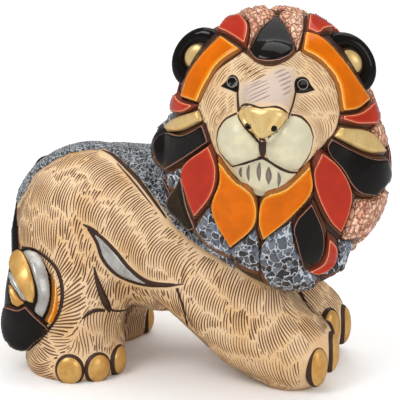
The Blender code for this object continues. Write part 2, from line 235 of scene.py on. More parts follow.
def numbersOf(mesh):
    # A mesh's points, their normals and its faces of four corners.
    points = np.empty(len(mesh.vertices) * 3, np.float32)
    mesh.vertices.foreach_get("co", points)
    normals = np.empty(len(mesh.vertices) * 3, np.float32)
    mesh.vertices.foreach_get("normal", normals)
    corners = np.empty(len(mesh.loops), np.int32)
    mesh.loops.foreach_get("vertex_index", corners)
    return points.reshape(-1, 3).astype(float), normals.reshape(-1, 3).astype(float), corners.reshape(-1, 4)


class Skin:
    # A fused form that other things are laid on, with normals that run smoothly over its faces.
    def __init__(self, mesh):
        self.mesh = mesh
        self.points, self.normals, self.faces = numbersOf(mesh)
        self.corners = self.faces.tolist()
        self.tree = BVHTree.FromPolygons(self.points.tolist(), self.corners)

    def smooth(self, place, face):
        corners = self.corners[face]
        shares = poly_3d_calc([Vector(self.points[i]) for i in corners], place)
        normal = Vector()
        for share, i in zip(shares, corners):
            normal += Vector(self.normals[i]) * share
        return place, normal.normalized()

    def nearest(self, point):
        place, _, face, _ = self.tree.find_nearest(point)
        return (*self.smooth(place, face), face)

    def along(self, start, way):
        place, _, face, _ = self.tree.ray_cast(start, way)
        return self.smooth(place, face) if place is not None else None

    def thrown(self, point):
        # A point of the sheet on the skin. One that misses goes round the edge by as much as it is beyond it.
        way = sheetWay(point)
        hit = self.along(eye, way)
        if hit:
            return hit
        middle = Vector(self.points.mean(axis=0))
        beside = eye + way * (middle - eye).dot(way)
        place = self.nearest(beside)[0]
        return self.nearest(place - sheetBack * (beside - place).length)[:2]

    def inside(self, point, margin):
        place, normal, _ = self.nearest(point)
        return (point - place).dot(normal) < margin


def frontOf(*skins):
    # Lays a point of the sheet on whichever skin is in front there.
    def laid(point):
        way = sheetWay(point)
        hits = [hit for hit in (skin.along(eye, way) for skin in skins) if hit]
        return min(hits, key=lambda hit: (hit[0] - eye).length) if hits else skins[0].thrown(point)
    return laid


def planeThrough(rests):
    # Lays points of the sheet on the plane through three places, each a square and how far it is before the
    # sheet's middle.
    a, b, c = (eye + sheetWay(square) * (sheet["away"] - near) for square, near in rests)
    normal = (b - a).cross(c - a).normalized()
    normal *= math.copysign(1, normal.dot(sheetBack))

    def laid(point):
        way = sheetWay(point)
        return eye + way * ((a - eye).dot(normal) / way.dot(normal)), normal
    return laid


bodySkin = Skin(fused(bodyMasses, grid=fusing["bodyGrid"]))
headSkin = Skin(fused(headDetails, softening=fusing["detailSoftening"], start=fused(headMasses)))
tuftSkin = Skin(fused(tuftMass))
tailSkin = Skin(fused(tailMass, grid=fusing["tailGrid"], softening=fusing["tailSoftening"]))
print("skins:", len(bodySkin.points), len(headSkin.points), len(tuftSkin.points))

# Outline work, in sheet squares.
corner = math.radians(62)  # an outline that turns by more than this has a sharp corner there


def rounded(outline, step):
    # The outline as a closed run of points, smooth between its sharp corners.
    count = len(outline)
    points = [Vector(p) for p in outline]
    sharp = []
    for i in range(count):
        before, after = points[i] - points[i - 1], points[(i + 1) % count] - points[i]
        sharp.append(abs(before.angle_signed(after)) > corner)
    run = []
    for i in range(count):
        start, end = points[i], points[(i + 1) % count]
        first = start - points[i - 1] if not sharp[i] else end - start
        last = points[(i + 2) % count] - end if not sharp[(i + 1) % count] else end - start
        side = end - start
        leave = (first.normalized() + side.normalized()).normalized() * side.length
        arrive = (last.normalized() + side.normalized()).normalized() * side.length
        pieces = max(1, round(side.length / step))
        for k in range(pieces):
            t = k / pieces
            run.append(start * (2 * t**3 - 3 * t**2 + 1) + leave * (t**3 - 2 * t**2 + t)
                       + end * (3 * t**2 - 2 * t**3) + arrive * (t**3 - t**2))
    return run


def inset(outline, by):
    turned = sum(a.x * b.y - b.x * a.y for a, b in zip(outline, outline[1:] + outline[:1]))
    moved = []
    for i, point in enumerate(outline):
        along = (outline[(i + 1) % len(outline)] - outline[i - 1]).normalized()
        moved.append(point + Vector((-along.y, along.x)) * by * math.copysign(1, turned))
    return moved


def sideDistance(points, outline, closed=True):
    # How far each point is from the nearest side of a line or outline.
    p = np.array([tuple(v)[:2] for v in points], float)[:, None]
    a = np.array([tuple(v) for v in outline], float)[None]
    d = np.roll(a, -1, axis=1) - a
    if not closed:
        a, d = a[:, :-1], d[:, :-1]
    t = np.clip(((p - a) * d).sum(2) / (d * d).sum(2), 0, 1)
    return np.sqrt(((p - a - d * t[..., None]) ** 2).sum(2)).min(1)


def signedDepth(points, outline):
    # The same, positive inside a closed outline and negative outside it.
    p = np.array([tuple(v)[:2] for v in points], float)
    a = np.array([tuple(v) for v in outline], float)
    b = np.roll(a, -1, axis=0)
    crossed = (a[None, :, 1] > p[:, None, 1]) != (b[None, :, 1] > p[:, None, 1])
    rise = np.where(b[:, 1] == a[:, 1], 1, b[:, 1] - a[:, 1])
    meets = a[None, :, 0] + (p[:, None, 1] - a[None, :, 1]) / rise[None] * (b[:, 0] - a[:, 0])[None]
    inside = (crossed & (p[:, None, 0] < meets)).sum(1) % 2 == 1
    return np.where(inside, 1, -1) * sideDistance(points, outline)


def filled(outline, step):
    # Triangles that fill an outline: its own points first, then a grid inside it.
    low = [min(p[i] for p in outline) for i in (0, 1)]
    high = [max(p[i] for p in outline) for i in (0, 1)]
    grid = []
    for row, y in enumerate(np.arange(low[1], high[1], step * 0.87)):
        for x in np.arange(low[0] + step * 0.5 * (row % 2), high[0], step):
            grid.append(Vector((x, y)))
    depths = signedDepth(grid, outline) if grid else []
    grid = [p for p, depth in zip(grid, depths) if depth > step * 0.6]
    edges = [(i, (i + 1) % len(outline)) for i in range(len(outline))]
    points, _, faces, *_ = delaunay_2d_cdt(outline + grid, edges, [], 1, 1e-6)
    used = sorted({i for face in faces for i in face})
    index = {old: new for new, old in enumerate(used)}
    return [points[i] for i in used], [[index[i] for i in face] for face in faces]


def colour(red, green, blue):
    # A colour of 0 to 255 as light.
    shares = (red / 255, green / 255, blue / 255)
    return tuple(s / 12.92 if s < 0.0404 else ((s + 0.055) / 1.055) ** 2.4 for s in shares)


# Ridges of crinkled clay. Noise vectors come out differently in each run unless their seed is set.
crinkled = {"seed": 4, "upwards": 0.62, "bends": 0.7, "bent": 0.55, "steep": 1.9}
noise.seed_set(crinkled["seed"])


def ridges(point, size):
    # Crinkled ridges between hollows: 0 on a ridge, 1 deep in a hollow. They run longer upwards than across.
    place = Vector((point.x, point.y, point.z * crinkled["upwards"])) / size
    bent = place + noise.noise_vector(place * crinkled["bends"]) * crinkled["bent"]
    near, further = noise.voronoi(bent)[0][:2]
    return min(1, max(0, (further - near) * crinkled["steep"]))


class Batch:
    # Closed shapes gathered into one mesh, with a value for each point under each named heading.
    def __init__(self, *headings):
        self.points, self.faces = [], []
        self.values = {heading: [] for heading in headings}

    def add(self, points, faces, **values):
        first = len(self.points)
        self.points += [tuple(p) for p in points]
        self.faces += [[first + i for i in face] for face in faces]
        for heading, run in self.values.items():
            run.extend(values.get(heading, np.zeros(len(points))))

    def mesh(self, name):
        mesh = bpy.data.meshes.new(name)
        mesh.from_pydata(self.points, [], self.faces)
        for heading, run in self.values.items():
            mesh.attributes.new(heading, "FLOAT", "POINT").data.foreach_set("value", run)
        return mesh


def swell(depth, edge):
    # The rise of a rounded edge, 0 at an outline and 1 from the edge's width inwards.
    return math.sqrt(1 - (1 - min(max(depth, 0) / edge, 1)) ** 2)


def pad(batch, outline, place, look, square=sheet["square"]):
    # A raised pad: the outline filled, laid on a skin, swelled towards its middle, with a skirt sunk into it.
    # It starts at the look's base, where it has one, with a wall from there down.
    around = inset(rounded(outline, look["step"] / square), look["gap"] / square)
    flat, faces = filled(around, look["step"] / square)
    depths = sideDistance(flat, around) * square
    if "limit" in look:
        depths = np.minimum(depths, look["limit"](flat) * square)
    extra = look["relief"](flat) if "relief" in look else np.zeros(len(flat))
    tops, roots, hollows = [], [], []
    base = look.get("base", 0)
    for point, depth, more in zip(flat, depths, extra):
        at, normal = place(point)
        rise = base + swell(depth, look["edge"]) * (look["height"] - base) + more
        hollow = ridges(at, look["crinkle"]) if "crinkle" in look else 0
        rise -= hollow * look.get("crinkleDepth", 0) * min(1, depth / look["edge"])
        tops.append(at + normal * rise)
        roots.append(at - normal * look["sunk"])
        hollows.append(hollow)
    count = len(flat)
    closed = [list(face) for face in faces] + [[i + count for i in reversed(face)] for face in faces]
    sides = {(a, b) for face in faces for a, b in zip(face, face[1:] + face[:1])}
    closed += [[b, a, a + count, b + count] for a, b in sides if (b, a) not in sides]
    if turnedIn(tops, faces, roots):
        closed = [list(reversed(face)) for face in closed]
    more = {key: np.tile(make(flat), 2) for key, make in look.get("values", {}).items()}
    batch.add(tops + roots, closed, depth=np.concatenate([depths, np.zeros(count) - 1]),
              hollow=hollows + hollows, **more)


def aimed(lay, height, furthest=9):
    # Lays a point of the sheet so that what stands at that height over it is seen in the point's own square.
    def laid(point):
        want = Vector(point)
        at = want.copy()
        for _ in range(3):
            place, normal = lay(at)
            at += want - Vector(onSheet([place + normal * height])[0])
            if (at - want).length > furthest:
                at = want + (at - want).normalized() * furthest
        return lay(at)
    return laid


def turnedIn(tops, faces, roots):
    # Whether the tops' faces look back at the roots.
    votes = 0
    for a, b, c in faces[:: max(1, len(faces) // 50)]:
        outwards = (tops[b] - tops[a]).cross(tops[c] - tops[a])
        votes += 1 if outwards.dot(tops[a] - roots[a]) > 0 else -1
    return votes < 0


def finish(name, mesh, material):
    # A finished piece: in metres, at the origin, with its material, on the frame.
    mesh.transform(toMetres)
    mesh.name = name
    mesh.shade_smooth()
    mesh.materials.clear()
    mesh.materials.append(material)
    piece = linked(name, mesh)
    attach(piece, "root")
    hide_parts("lion")
    mesh.calc_loop_triangles()
    print(name, len(mesh.loop_triangles))
    return piece


# Materials. A node's inputs are given by name, as values or as sockets of other nodes.
def node(tree, kind, inputs=None, **settings):
    made = tree.nodes.new(kind)
    for key, value in settings.items():
        setattr(made, key, value)
    for key, value in (inputs or {}).items():
        socket = made.inputs[key]
        if isinstance(value, bpy.types.NodeSocket):
            tree.links.new(value, socket)
        else:
            socket.default_value = value
    return made


def group(name, colours, values, outputs):
    # A group that takes colours and values. Its outputs are values, but for a colour or a normal.
    tree = bpy.data.node_groups.new(name, "ShaderNodeTree")
    kinds = {"Color": "NodeSocketColor", "Normal": "NodeSocketVector"}
    for key in colours:
        tree.interface.new_socket(key, in_out="INPUT", socket_type="NodeSocketColor")
    for key in values:
        tree.interface.new_socket(key, in_out="INPUT", socket_type="NodeSocketFloat")
    for key in outputs:
        tree.interface.new_socket(key, in_out="OUTPUT", socket_type=kinds.get(key, "NodeSocketFloat"))
    return tree, tree.nodes.new("NodeGroupInput").outputs, tree.nodes.new("NodeGroupOutput").inputs


def mixed(tree, share, first, second, blend="MIX"):
    made = node(tree, "ShaderNodeMix", data_type="RGBA", blend_type=blend)
    for i, value in ((0, share), (6, first), (7, second)):
        if isinstance(value, bpy.types.NodeSocket):
            tree.links.new(value, made.inputs[i])
        else:
            made.inputs[i].default_value = (*value, 1) if i else value
    return made.outputs[2]


def ramp(tree, value, low, high):
    # 0 below low, 1 above high, smooth between.
    made = node(tree, "ShaderNodeMapRange", {"Value": value, "From Min": low, "From Max": high},
                interpolation_type="SMOOTHSTEP")
    return made.outputs["Result"]


def grain(tree, scale, detail=3.0, roughness=0.55, stretch=(1, 1, 1)):
    # Noise fixed to the piece, its scale in grains for each unit of the figure.
    place = node(tree, "ShaderNodeTexCoord").outputs["Object"]
    size = node(tree, "ShaderNodeMapping", {"Vector": place, "Scale": [s / unit for s in stretch]})
    made = node(tree, "ShaderNodeTexNoise", {"Vector": size.outputs["Vector"], "Scale": scale,
                                             "Detail": detail, "Roughness": roughness})
    return made.outputs["Fac"]


def attribute(tree, name):
    return node(tree, "ShaderNodeAttribute", attribute_name=name).outputs["Fac"]


def maths(tree, operation, *values):
    return node(tree, "ShaderNodeMath", dict(enumerate(values)), operation=operation).outputs[0]


def raisedBy(tree, height, strength, distance, **settings):
    # The normal of a bump, its distance in the figure's unit.
    inputs = {"Height": height, "Strength": strength, "Distance": unit * distance}
    return node(tree, "ShaderNodeBump", inputs, **settings).outputs["Normal"]


def makeGlazeGroup():
    # Glaze over a clay pad, from its outline inwards: bare clay, the pad's slope, partly painted shade, a
    # thin pale line where the glaze breaks, partly a painted highlight, thin glaze and then full glaze.
    tree, given, out = group("brokenGlaze", ("Clay", "Slope", "Rim", "Thin", "Full"),
                             ("Depth", "Slope Start", "Rim Start", "Rim End", "Full Depth"),
                             ("Color", "Glazed", "Normal"))
    wobble = maths(tree, "MULTIPLY_ADD", grain(tree, 0.5, 2), 0.2, -0.1)
    depth = maths(tree, "ADD", given["Depth"], wobble)
    pooled = mixed(tree, ramp(tree, grain(tree, 0.16, 2), 0.35, 0.7), (0.9, 0.9, 0.9), (1.1, 1.08, 1.05))
    full = mixed(tree, 1.0, given["Full"], pooled, "MULTIPLY")
    tone = mixed(tree, ramp(tree, depth, given["Rim End"], given["Full Depth"]), given["Thin"], full)
    steps = [ramp(tree, depth, maths(tree, "SUBTRACT", given[key], 0.1), given[key])
             for key in ("Rim End", "Rim Start", "Slope Start")]
    # The pale line is partly a painted highlight, and the slope partly painted shade.
    tone = mixed(tree, steps[0], given["Rim"], tone)
    tone = mixed(tree, steps[1], given["Slope"], tone)
    glazed = steps[2]
    tree.links.new(mixed(tree, glazed, given["Clay"], tone), out["Color"])
    tree.links.new(glazed, out["Glazed"])
    tree.links.new(raisedBy(tree, grain(tree, 0.35, 2), 0.12, 1), out["Normal"])
    return tree


def makeStainGroup():
    # Hand-finished clay: brown stain left in patches, small kiln specks, and brown from each point's stain
    # value, which on the body is partly painted shade.
    tree, given, out = group("stainedClay", ("Clay", "Warm", "Stain"), ("Stained",), ("Color", "Height"))
    broad = ramp(tree, grain(tree, 0.09, 3), 0.35, 0.68)
    base = mixed(tree, broad, given["Clay"], given["Warm"])
    fine = ramp(tree, grain(tree, 1.3, 4, 0.7), 0.5, 0.75)
    held = maths(tree, "MULTIPLY", fine, 0.25)
    amount = maths(tree, "ADD", held, given["Stained"])
    stained = mixed(tree, amount, base, given["Stain"])
    specks = ramp(tree, grain(tree, 2.6, 1), 0.76, 0.82)
    tree.links.new(mixed(tree, specks, stained, given["Stain"]), out["Color"])
    tree.links.new(grain(tree, 1.1, 4, 0.65), out["Height"])
    return tree


def bentPlace(tree, upwards, bends, by):
    # The place on the piece in the figure's unit, measured upwards by that share, and bent by noise.
    place = node(tree, "ShaderNodeTexCoord").outputs["Object"]
    size = node(tree, "ShaderNodeMapping", {"Vector": place, "Scale": (1 / unit, 1 / unit, upwards / unit)})
    bend = node(tree, "ShaderNodeTexNoise", {"Vector": size.outputs["Vector"], "Scale": bends, "Detail": 2.0})
    inputs = {0: bend.outputs["Color"], 1: (by, by, by), 2: size.outputs["Vector"]}
    return node(tree, "ShaderNodeVectorMath", inputs, operation="MULTIPLY_ADD").outputs["Vector"]


def makeCrinkleGroup():
    # Slip over crinkled clay: pale ridges, body colour on the slopes, dark hollows.
    tree, given, out = group("crinkledSlip", ("Ridge", "Slope", "Deep"),
                             ("Hollow", "Scale", "Fine", "Deep Start"), ("Color", "Height"))
    where = {"Vector": bentPlace(tree, 1, 0.9, 1), "Scale": given["Scale"]}
    cells = node(tree, "ShaderNodeTexVoronoi", where, feature="DISTANCE_TO_EDGE")
    fine = ramp(tree, cells.outputs["Distance"], 0.03, 0.32)
    low = mixed(tree, given["Fine"], given["Hollow"], fine)
    slope = mixed(tree, ramp(tree, low, 0.02, 0.34), given["Ridge"], given["Slope"])
    deep = ramp(tree, low, given["Deep Start"], maths(tree, "ADD", given["Deep Start"], 0.4))
    tree.links.new(mixed(tree, deep, slope, given["Deep"]), out["Color"])
    tree.links.new(maths(tree, "SUBTRACT", 1.0, low), out["Height"])
    return tree


def makeCrumpleGroup():
    # Slip over crumpled clay, in long cells: a line along their borders, a tone that changes between them,
    # and painted shade towards the deep tone in the hollows.
    tree, given, out = group("crumpledSlip", ("Line", "Body", "Other", "Deep"),
                             ("Hollow", "Scale", "Line Width"), ("Color", "Height"))
    where = {"Vector": bentPlace(tree, 0.55, 0.7, 1.6), "Scale": given["Scale"]}
    border = node(tree, "ShaderNodeTexVoronoi", where, feature="DISTANCE_TO_EDGE").outputs["Distance"]
    cell = node(tree, "ShaderNodeTexVoronoi", where, feature="F1").outputs["Color"]
    tone = mixed(tree, ramp(tree, cell, 0.3, 0.7), given["Body"], given["Other"])
    # Painted shade: the hollows are darkened towards the deep tone.
    shade = maths(tree, "MULTIPLY", ramp(tree, given["Hollow"], 0.45, 1.0), 0.6)
    tone = mixed(tree, shade, tone, given["Deep"])
    thin = maths(tree, "MULTIPLY", given["Line Width"], 0.35)
    wide = maths(tree, "MULTIPLY", given["Line Width"], 2.5)
    line = ramp(tree, border, thin, given["Line Width"])
    tree.links.new(mixed(tree, line, given["Line"], tone), out["Color"])
    tree.links.new(ramp(tree, border, 0.0, wide), out["Height"])
    return tree


glazeGroup = makeGlazeGroup()
crumpleGroup = makeCrumpleGroup()
stainGroup = makeStainGroup()
crinkleGroup = makeCrinkleGroup()


def newMaterial(name, shaderValues):
    material = bpy.data.materials.new(name)
    material.use_nodes = True
    tree = material.node_tree
    shader = tree.nodes["Principled BSDF"]
    for key, value in shaderValues.items():
        shader.inputs[key].default_value = value
    return material, tree, shader


def linkAll(tree, shader, links):
    for key, socket in links.items():
        tree.links.new(socket, shader.inputs[key])


def dressed(tree, made, colours, values=None):
    # A group's node with its colours, given as 0 to 255, and its values.
    used = node(tree, "ShaderNodeGroup", values, node_tree=made)
    for key, value in colours.items():
        used.inputs[key].default_value = (*colour(*value), 1)
    return used


# Glazes: clay down the walls, slope, pale line, thin glaze by the line, full glaze, and how deep each starts.
# Slope colours are partly painted shade, and pale rim colours partly painted highlights.
glazes = {
    "black": {"Clay": (50, 32, 25), "Slope": (66, 42, 34), "Rim": (160, 118, 100), "Thin": (34, 26, 24),
              "Full": (20, 17, 16), "starts": (0.04, 0.5, 0.66, 0.95)},
    "red": {"Clay": (62, 36, 26), "Slope": (120, 54, 38), "Rim": (228, 148, 112), "Thin": (186, 66, 42),
            "Full": (168, 46, 28), "starts": (0.04, 0.62, 0.8, 1.4)},
    "orange": {"Clay": (70, 44, 26), "Slope": (156, 96, 42), "Rim": (240, 190, 104), "Thin": (222, 130, 14),
               "Full": (202, 98, 0), "starts": (0.04, 0.5, 0.68, 1.5)},
    "ivory": {"Clay": (110, 80, 52), "Slope": (170, 144, 104), "Rim": (216, 200, 166),
              "Thin": (204, 194, 166), "Full": (200, 194, 166), "starts": (0.0, 0.08, 0.25, 0.8)},
    "bed": {"Clay": (44, 28, 20), "Slope": (56, 36, 25), "Rim": (76, 47, 32), "Thin": (86, 54, 36),
            "Full": (96, 60, 41), "starts": (0.0, 0.16, 0.34, 0.7)},
}


def glazeMaterial(name, look):
    material, tree, shader = newMaterial(name, {"IOR": 1.48, "Specular IOR Level": 0.3})
    colours = dict(look)
    values = dict(zip(("Slope Start", "Rim Start", "Rim End", "Full Depth"), colours.pop("starts")))
    made = dressed(tree, glazeGroup, colours, {"Depth": attribute(tree, "depth"), **values})
    linkAll(tree, shader, {"Base Color": made.outputs["Color"], "Normal": made.outputs["Normal"],
                           "Roughness": maths(tree, "MULTIPLY_ADD", made.outputs["Glazed"], -0.33, 0.45)})
    return material


def clayMaterial(name, clay, warm, stain, relief=0.35):
    material, tree, shader = newMaterial(name, {"IOR": 1.45, "Coat Weight": 0.12, "Coat Roughness": 0.3})
    made = dressed(tree, stainGroup, {"Clay": clay, "Warm": warm, "Stain": stain},
                   {"Stained": attribute(tree, "stain")})
    height = made.outputs["Height"]
    linkAll(tree, shader, {"Base Color": made.outputs["Color"], "Normal": raisedBy(tree, height, relief, 0.3),
                           "Roughness": maths(tree, "MULTIPLY_ADD", height, 0.3, 0.35)})
    return material


def addPatch(material, heading, tone):
    # A patch of another tone, where the points' value under the heading is 1.
    tree = material.node_tree
    shader = tree.nodes["Principled BSDF"]
    base = shader.inputs["Base Color"].links[0].from_socket
    tree.links.new(mixed(tree, attribute(tree, heading), base, colour(*tone)), shader.inputs["Base Color"])


def crinkleMaterial(name, ridge, slope, deep, scale, fine, deepStart):
    material, tree, shader = newMaterial(name, {"Roughness": 0.42, "Coat Weight": 0.3, "Coat Roughness": 0.2})
    values = {"Hollow": attribute(tree, "hollow"), "Scale": scale, "Fine": fine, "Deep Start": deepStart}
    made = dressed(tree, crinkleGroup, {"Ridge": ridge, "Slope": slope, "Deep": deep}, values)
    normal = raisedBy(tree, made.outputs["Height"], 0.8, 0.5)
    linkAll(tree, shader, {"Base Color": made.outputs["Color"], "Normal": normal})
    return material


def crumpleMaterial(name, colours, scale, lineWidth, raisedLines):
    material, tree, shader = newMaterial(name, {"Roughness": 0.4, "Coat Weight": 0.25, "Coat Roughness": 0.2})
    made = dressed(tree, crumpleGroup, dict(zip(("Line", "Body", "Other", "Deep"), colours)),
                   {"Hollow": attribute(tree, "hollow"), "Scale": scale, "Line Width": lineWidth})
    normal = raisedBy(tree, made.outputs["Height"], 0.9, 0.6, invert=raisedLines)
    linkAll(tree, shader, {"Base Color": made.outputs["Color"], "Normal": normal})
    return material


def lustreMaterial(name, bright, deep, roughness=0.28):
    # Metal lustre over glaze: a bright skin with faint brush streaks and a darker edge.
    material, tree, shader = newMaterial(name, {"Coat Weight": 0.2, "Coat Roughness": 0.05})
    streaks = ramp(tree, grain(tree, 0.4, 3, 0.6, (1, 1, 0.6)), 0.3, 0.85)
    tone = mixed(tree, streaks, colour(*bright), colour(*deep))
    edge = ramp(tree, attribute(tree, "depth"), 0.0, 0.25)
    linkAll(tree, shader, {"Base Color": mixed(tree, edge, colour(96, 62, 34), tone),
                           "Metallic": maths(tree, "MULTIPLY", edge, 0.5),
                           "Roughness": maths(tree, "MULTIPLY_ADD", streaks, 0.12, roughness),
                           "Normal": raisedBy(tree, grain(tree, 0.4, 2), 0.12, 0.6)})
    return material


blackGlaze = glazeMaterial("black glaze", glazes["black"])
redGlaze = glazeMaterial("red glaze", glazes["red"])
orangeGlaze = glazeMaterial("orange glaze", glazes["orange"])
ivoryGlaze = glazeMaterial("ivory glaze", glazes["ivory"])
goldLustre = lustreMaterial("gold lustre", (246, 214, 148), (232, 190, 116))
amberLustre = lustreMaterial("amber gold lustre", (238, 190, 112), (214, 150, 66), 0.3)
silverLustre = lustreMaterial("silver lustre", (204, 203, 198), (158, 154, 146))
creamClay = clayMaterial("cream clay", (222, 190, 150), (214, 172, 122), (124, 82, 46))
grooveClay = clayMaterial("groove clay", (66, 40, 26), (56, 34, 22), (34, 20, 14))
strokeStain = clayMaterial("stroke stain", (120, 80, 50), (98, 62, 38), (66, 40, 24), relief=0)
bedClay = glazeMaterial("bed clay", glazes["bed"])
markStain = clayMaterial("whisker mark stain", (142, 130, 122), (130, 118, 110), (104, 92, 84), relief=0)
tanStain = clayMaterial("tan stain", (150, 108, 70), (136, 94, 60), (100, 66, 42), relief=0)
mauveStain = clayMaterial("mauve stain", (168, 142, 134), (156, 128, 120), (130, 98, 88), relief=0)
faceClay = clayMaterial("face clay", (220, 190, 150), (212, 174, 128), (144, 100, 64))
addPatch(faceClay, "pale", (198, 178, 162))
# Slip tones: line, body, other, and the deep tone used for painted shade in hollows.
coralTones = ((140, 82, 58), (246, 198, 166), (232, 164, 130), (176, 108, 78))
coralSlip = crumpleMaterial("coral slip", coralTones, 0.62, 0.08, raisedLines=False)
blueTones = ((196, 202, 208), (112, 120, 134), (46, 48, 54), (30, 28, 30))
blueSlip = crumpleMaterial("grey blue slip", blueTones, 0.4, 0.075, raisedLines=True)
greySlip = crinkleMaterial("grey slip", (178, 182, 186), (84, 88, 94), (20, 18, 20), 1.2, 0.5, 0.38)
print("materials made")


# Carved strokes and lines, made from polylines by one node tree.
def makeStrokeTree():
    tree = bpy.data.node_groups.new("carvedStrokes", "GeometryNodeTree")
    tree.interface.new_socket("Lines", in_out="INPUT", socket_type="NodeSocketGeometry")
    for key in ("Width", "Lift", "Depth"):
        tree.interface.new_socket(key, in_out="INPUT", socket_type="NodeSocketFloat")
    tree.interface.new_socket("Stain", in_out="INPUT", socket_type="NodeSocketMaterial")
    tree.interface.new_socket("Strokes", in_out="OUTPUT", socket_type="NodeSocketGeometry")
    given = tree.nodes.new("NodeGroupInput").outputs

    def geometry(kind, inputs, output, **settings):
        return node(tree, "GeometryNode" + kind, inputs, **settings).outputs[output]

    up = geometry("InputNamedAttribute", {"Name": "up"}, "Attribute", data_type="FLOAT_VECTOR")
    girth = geometry("InputNamedAttribute", {"Name": "girth"}, "Attribute", data_type="FLOAT")
    lines = geometry("MeshToCurve", {"Mesh": given["Lines"]}, "Curve")
    faced = geometry("SetCurveNormal", {"Curve": lines, "Normal": up}, "Curve", mode="FREE")
    # A three-sided profile with its flat side up: local x is the way out of the clay.
    profile = geometry("CurvePrimitiveCircle", {"Resolution": 3, "Radius": 1.0}, "Curve")
    deep = maths(tree, "MULTIPLY", given["Depth"], 1 / 1.5)
    wide = maths(tree, "MULTIPLY", given["Width"], 1 / math.sqrt(3))
    level = maths(tree, "ADD", maths(tree, "MULTIPLY", deep, -0.5), given["Lift"])
    scale = node(tree, "ShaderNodeCombineXYZ", {0: deep, 1: wide, 2: 1.0}).outputs[0]
    shift = node(tree, "ShaderNodeCombineXYZ", {0: level, 1: 0.0, 2: 0.0}).outputs[0]
    blade = geometry("Transform", {"Geometry": profile, "Scale": scale, "Translation": shift,
                                   "Rotation": (0, 0, math.pi)}, "Geometry")
    solid = geometry("CurveToMesh", {"Curve": faced, "Profile Curve": blade, "Scale": girth,
                                     "Fill Caps": True}, "Mesh")
    real = geometry("RealizeInstances", {"Geometry": solid}, "Geometry")
    stained = geometry("SetMaterial", {"Geometry": real, "Material": given["Stain"]}, "Geometry")
    tree.links.new(stained, tree.nodes.new("NodeGroupOutput").inputs["Strokes"])
    return tree


strokeTree = makeStrokeTree()


def strokes(name, runs, look, material):
    # runs: each a list of (place, normal, girth). Where the look says closed, each ends where it starts.
    points, edges, ups, girths = [], [], [], []
    for run in runs:
        first = len(points)
        points += [tuple(place) for place, _, _ in run]
        ups += [tuple(normal) for _, normal, _ in run]
        girths += [girth for _, _, girth in run]
        edges += [(i, i + 1) for i in range(first, len(points) - 1)]
        if look.get("closed"):
            edges.append((len(points) - 1, first))
    mesh = bpy.data.meshes.new(name)
    mesh.from_pydata(points, edges, [])
    mesh.attributes.new("up", "FLOAT_VECTOR", "POINT").data.foreach_set("vector", np.ravel(ups))
    mesh.attributes.new("girth", "FLOAT", "POINT").data.foreach_set("value", girths)
    made = linked(name, mesh)
    modifier = made.modifiers.new("strokes", "NODES")
    modifier.node_group = strokeTree
    sockets = {item.name: item.identifier for item in strokeTree.interface.items_tree}
    for key in ("Width", "Lift", "Depth"):
        modifier[sockets[key]] = look[key.lower()]
    modifier[sockets["Stain"]] = material
    return finish(name, evaluated(made), material)


def tapered(count, ends=0.25):
    return [ends + (1 - ends) * math.sin(math.pi * (i + 0.3) / (count - 0.4)) for i in range(count)]


def pointed(run, ends=0.25):
    return [(place, normal, thick) for (place, normal, _), thick in zip(run, tapered(len(run), ends))]


def inUnits(widths):
    return [width * sheet["square"] for width in widths]


def drawn(outline, lay, step=1.6, closed=False, girths=None):
    # A line of the sheet as a run on the skin that lay puts points on. girths: how thick it is at its points.
    count = len(outline)
    run = []
    for i in range(count if closed else count - 1):
        start, end = Vector(outline[i]), Vector(outline[(i + 1) % count])
        before = Vector(outline[i - 1]) if closed or i else start * 2 - end
        after = Vector(outline[(i + 2) % count]) if closed or i + 2 < count else end * 2 - start
        pieces = max(1, round((end - start).length / step))
        for k in range(pieces + (not closed and i == count - 2)):
            t = k / pieces
            flat = 0.5 * (2 * start + (end - before) * t + (2 * before - 5 * start + 4 * end - after) * t**2
                          + (3 * start - before - 3 * end + after) * t**3)
            place, normal = lay(flat)
            thick = 1.0 if girths is None else girths[i] * (1 - t) + girths[(i + 1) % count] * t
            run.append((place, normal, thick))
    return run


def balls(name, places, slot, material, grow=0, back=0):
    # Balls squashed to the radii of each place, larger by grow, set in along x and cut off at the ground.
    bm = bmesh.new()
    for matrix, radii in places:
        ball(bm, (-back, 0, 0), [radius + grow for radius in radii], matrix)
    bmesh.ops.recalc_face_normals(bm, faces=bm.faces[:])
    mesh = bpy.data.meshes.new(name)
    bm.to_mesh(mesh)
    bm.free()
    return finish(name, deepGlaze(cutLevel(mesh)), material)


def deepGlaze(mesh, depth=3.0):
    # Marked as well inside the glaze at every point.
    marked = mesh.attributes.get("depth") or mesh.attributes.new("depth", "FLOAT", "POINT")
    marked.data.foreach_set("value", [depth] * len(mesh.vertices))
    return mesh


# The body, with its hair combed in carved strokes.
body = {
    "backLine": [
        (-9, 215), (18, 203), (27, 190), (37, 173), (54, 161), (70, 154), (87, 151), (104, 149),
        (117, 156), (130, 169), (144, 185), (160, 205), (174, 227), (196, 246), (223, 262), (255, 272),
        (280, 286), (430, 286), (430, 40), (-9, 40),
    ],
    "ridge": [(106, 150), (118, 157), (131, 169), (145, 185), (160, 204), (170, 220)],
    "leaf": [
        (87, 227), (102, 237), (115, 250), (132, 270), (148, 281), (176, 285), (151, 286), (132, 282),
        (115, 274), (102, 259), (96, 242),
    ],
    "paws": [
        (333, 398), (301, 398), (300, 366), (312, 346), (326, 334), (333, 318), (345, 290), (365, 290),
        (365, 398),
    ],
    "shank": [(83, 311), (126, 312), (128, 345), (118, 344), (104, 349), (84, 349), (70, 348), (80, 330)],
    "heel": [
        (28, 345), (60, 326), (64, 300), (62, 276), (80, 266), (96, 284), (104, 304), (84, 316),
        (80, 334), (66, 350), (56, 372), (30, 372),
    ],
    "paw": [(228, 336), (262, 324), (300, 330), (312, 345), (302, 366), (304, 394), (240, 394), (206, 366)],
    "belly": [(108, 285), (130, 289), (176, 290), (192, 328), (178, 320), (150, 313), (112, 312)],
}
